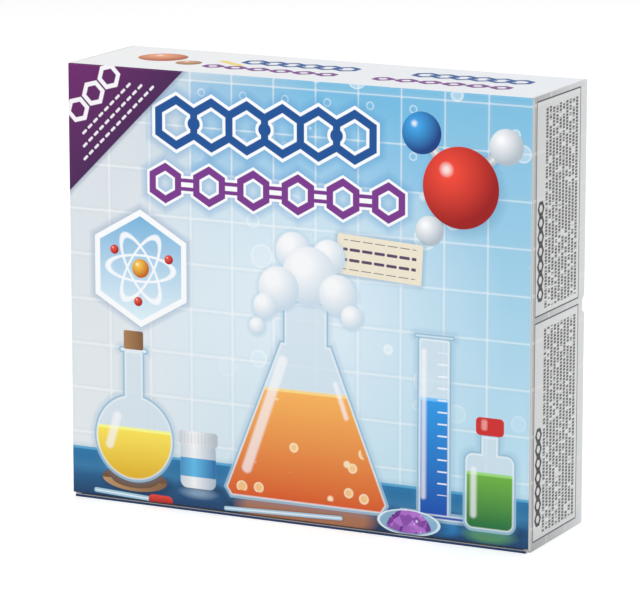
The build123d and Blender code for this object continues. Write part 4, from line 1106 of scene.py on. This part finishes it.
def make_balloon():
    low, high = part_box("balloon")
    radius = (high.z - low.z) / 2
    centre = Vector((low.x + radius, (low.y + high.y) / 2, (low.z + high.z) / 2))
    reach = high.x - centre.x
    neck, roll = 4.5 * MM, 5.2 * MM
    stations = []
    for i in range(1, 17):
        a = math.pi - (math.pi * 0.66) * i / 16
        stations.append((radius * math.cos(a), radius * math.sin(a)))
    x_start, half_start = stations[-1]
    for i in range(1, 13):
        t = i / 12
        ease = t * t * (3 - 2 * t)
        x = x_start + (reach - 3.0 * MM - x_start) * t
        stations.append((x, half_start + (neck - half_start) * ease))
    rolled_end = (
        (2.6, roll), (1.3, roll * 1.06), (0.1, roll), (0.1, neck * 0.8), (2.0, neck * 0.7),
    )
    stations += [(reach - back * MM, half) for back, half in rolled_end]
    around, verts = 40, []
    flat = (high.y - low.y) / 2
    for number, (x, half) in enumerate(stations):
        crown = flat * (0.55 + 0.45 * min(1.0, half / radius)) * min(1.0, half / (3.0 * MM))
        if number >= len(stations) - len(rolled_end):
            crown = flat * 0.95
        for i in range(around):
            a = 2 * math.pi * i / around
            wrinkle = 1.0 + 0.10 * math.sin(9 * a + number * 0.3) * max(0.0, x / reach)
            rise = crown * math.sin(a) * min(1.0, wrinkle)
            verts.append((centre.x + x, centre.y + rise, centre.z + half * math.cos(a)))
    faces = grid_faces(len(stations), around)
    faces.append(tuple(range(around)))
    faces.append(tuple(range(len(verts) - around, len(verts))))
    piece = new_piece("balloon_skin", verts, faces, thin_rubber(), "case", "balloon")


make_balloon()


# %% [markdown]
# ## Floor
# The floor is one large pale sheet. A white background could come from more light, but that would
# bleach the print. Instead the floor glows for the camera, in reflections and through clear pieces
# only, so it looks white and throws no light on the case.

# %% Floor
def pale_floor():
    material, shader, place, _ = new_material("pale_floor", 0.6)
    tree = place.tree
    rays = tree.nodes.new("ShaderNodeLightPath").outputs
    camera_ray = Field(tree, rays["Is Camera Ray"])
    glossy_ray = Field(tree, rays["Is Glossy Ray"])
    clear_ray = Field(tree, rays["Is Transmission Ray"])
    seen = camera_ray + glossy_ray + clear_ray
    set_socket(shader, "Emission Color", mix(seen, (0.0, 0.0, 0.0), (1.0, 1.0, 1.0)))
    shader.inputs["Emission Strength"].default_value = 0.42
    cloud = noise(place, 3.0, 2.0)
    set_socket(shader, "Base Color", mix(cloud, (0.86, 0.86, 0.86), (0.88, 0.88, 0.88)))
    mesh = bpy.data.meshes.new("floor")
    half = 12.0
    corners = [(-half, -half, 0), (half, -half, 0), (half, half, 0), (-half, half, 0)]
    mesh.from_pydata(corners, [], [(0, 1, 2, 3)])
    mesh.materials.append(material)
    floor = bpy.data.objects.new("floor", mesh)
    bpy.context.collection.objects.link(floor)


pale_floor()
print("floor laid")


# %% [markdown]
# ## Lights
# A wide soft light from the front left carries most of the exposure, a weaker one fills the right
# side, and a third reaches the top from behind. The world adds an even white from everywhere, so
# the shadow at the case's foot stays faint. All of it is kept to a level at which a colour renders
# about as it is written.

# %% Lights
def area_light(name, place, target, size, watts):
    data = bpy.data.lights.new(name, "AREA")
    data.shape = "RECTANGLE"
    data.size, data.size_y = size
    data.energy = watts
    light = bpy.data.objects.new(name, data)
    light.location = place
    light.rotation_euler = (Vector(target) - Vector(place)).to_track_quat("-Z", "Y").to_euler()
    bpy.context.collection.objects.link(light)


AIM = (0.0, 0.0, 0.15)
area_light("key", (-0.9, -2.2, 2.0), AIM, (1.8, 1.4), 38.0)
area_light("fill", (2.6, -1.0, 1.2), AIM, (1.6, 1.6), 14.0)
area_light("rear", (0.2, 1.4, 2.2), AIM, (1.6, 1.0), 24.0)
world = bpy.data.worlds.new("studio")
world.use_nodes = True
world.node_tree.nodes["Background"].inputs["Color"].default_value = (1.0, 1.0, 1.0, 1.0)
world.node_tree.nodes["Background"].inputs["Strength"].default_value = 0.45
bpy.context.scene.world = world
bpy.context.scene.view_settings.view_transform = "Standard"
print("lamps:", len(bpy.data.lights))
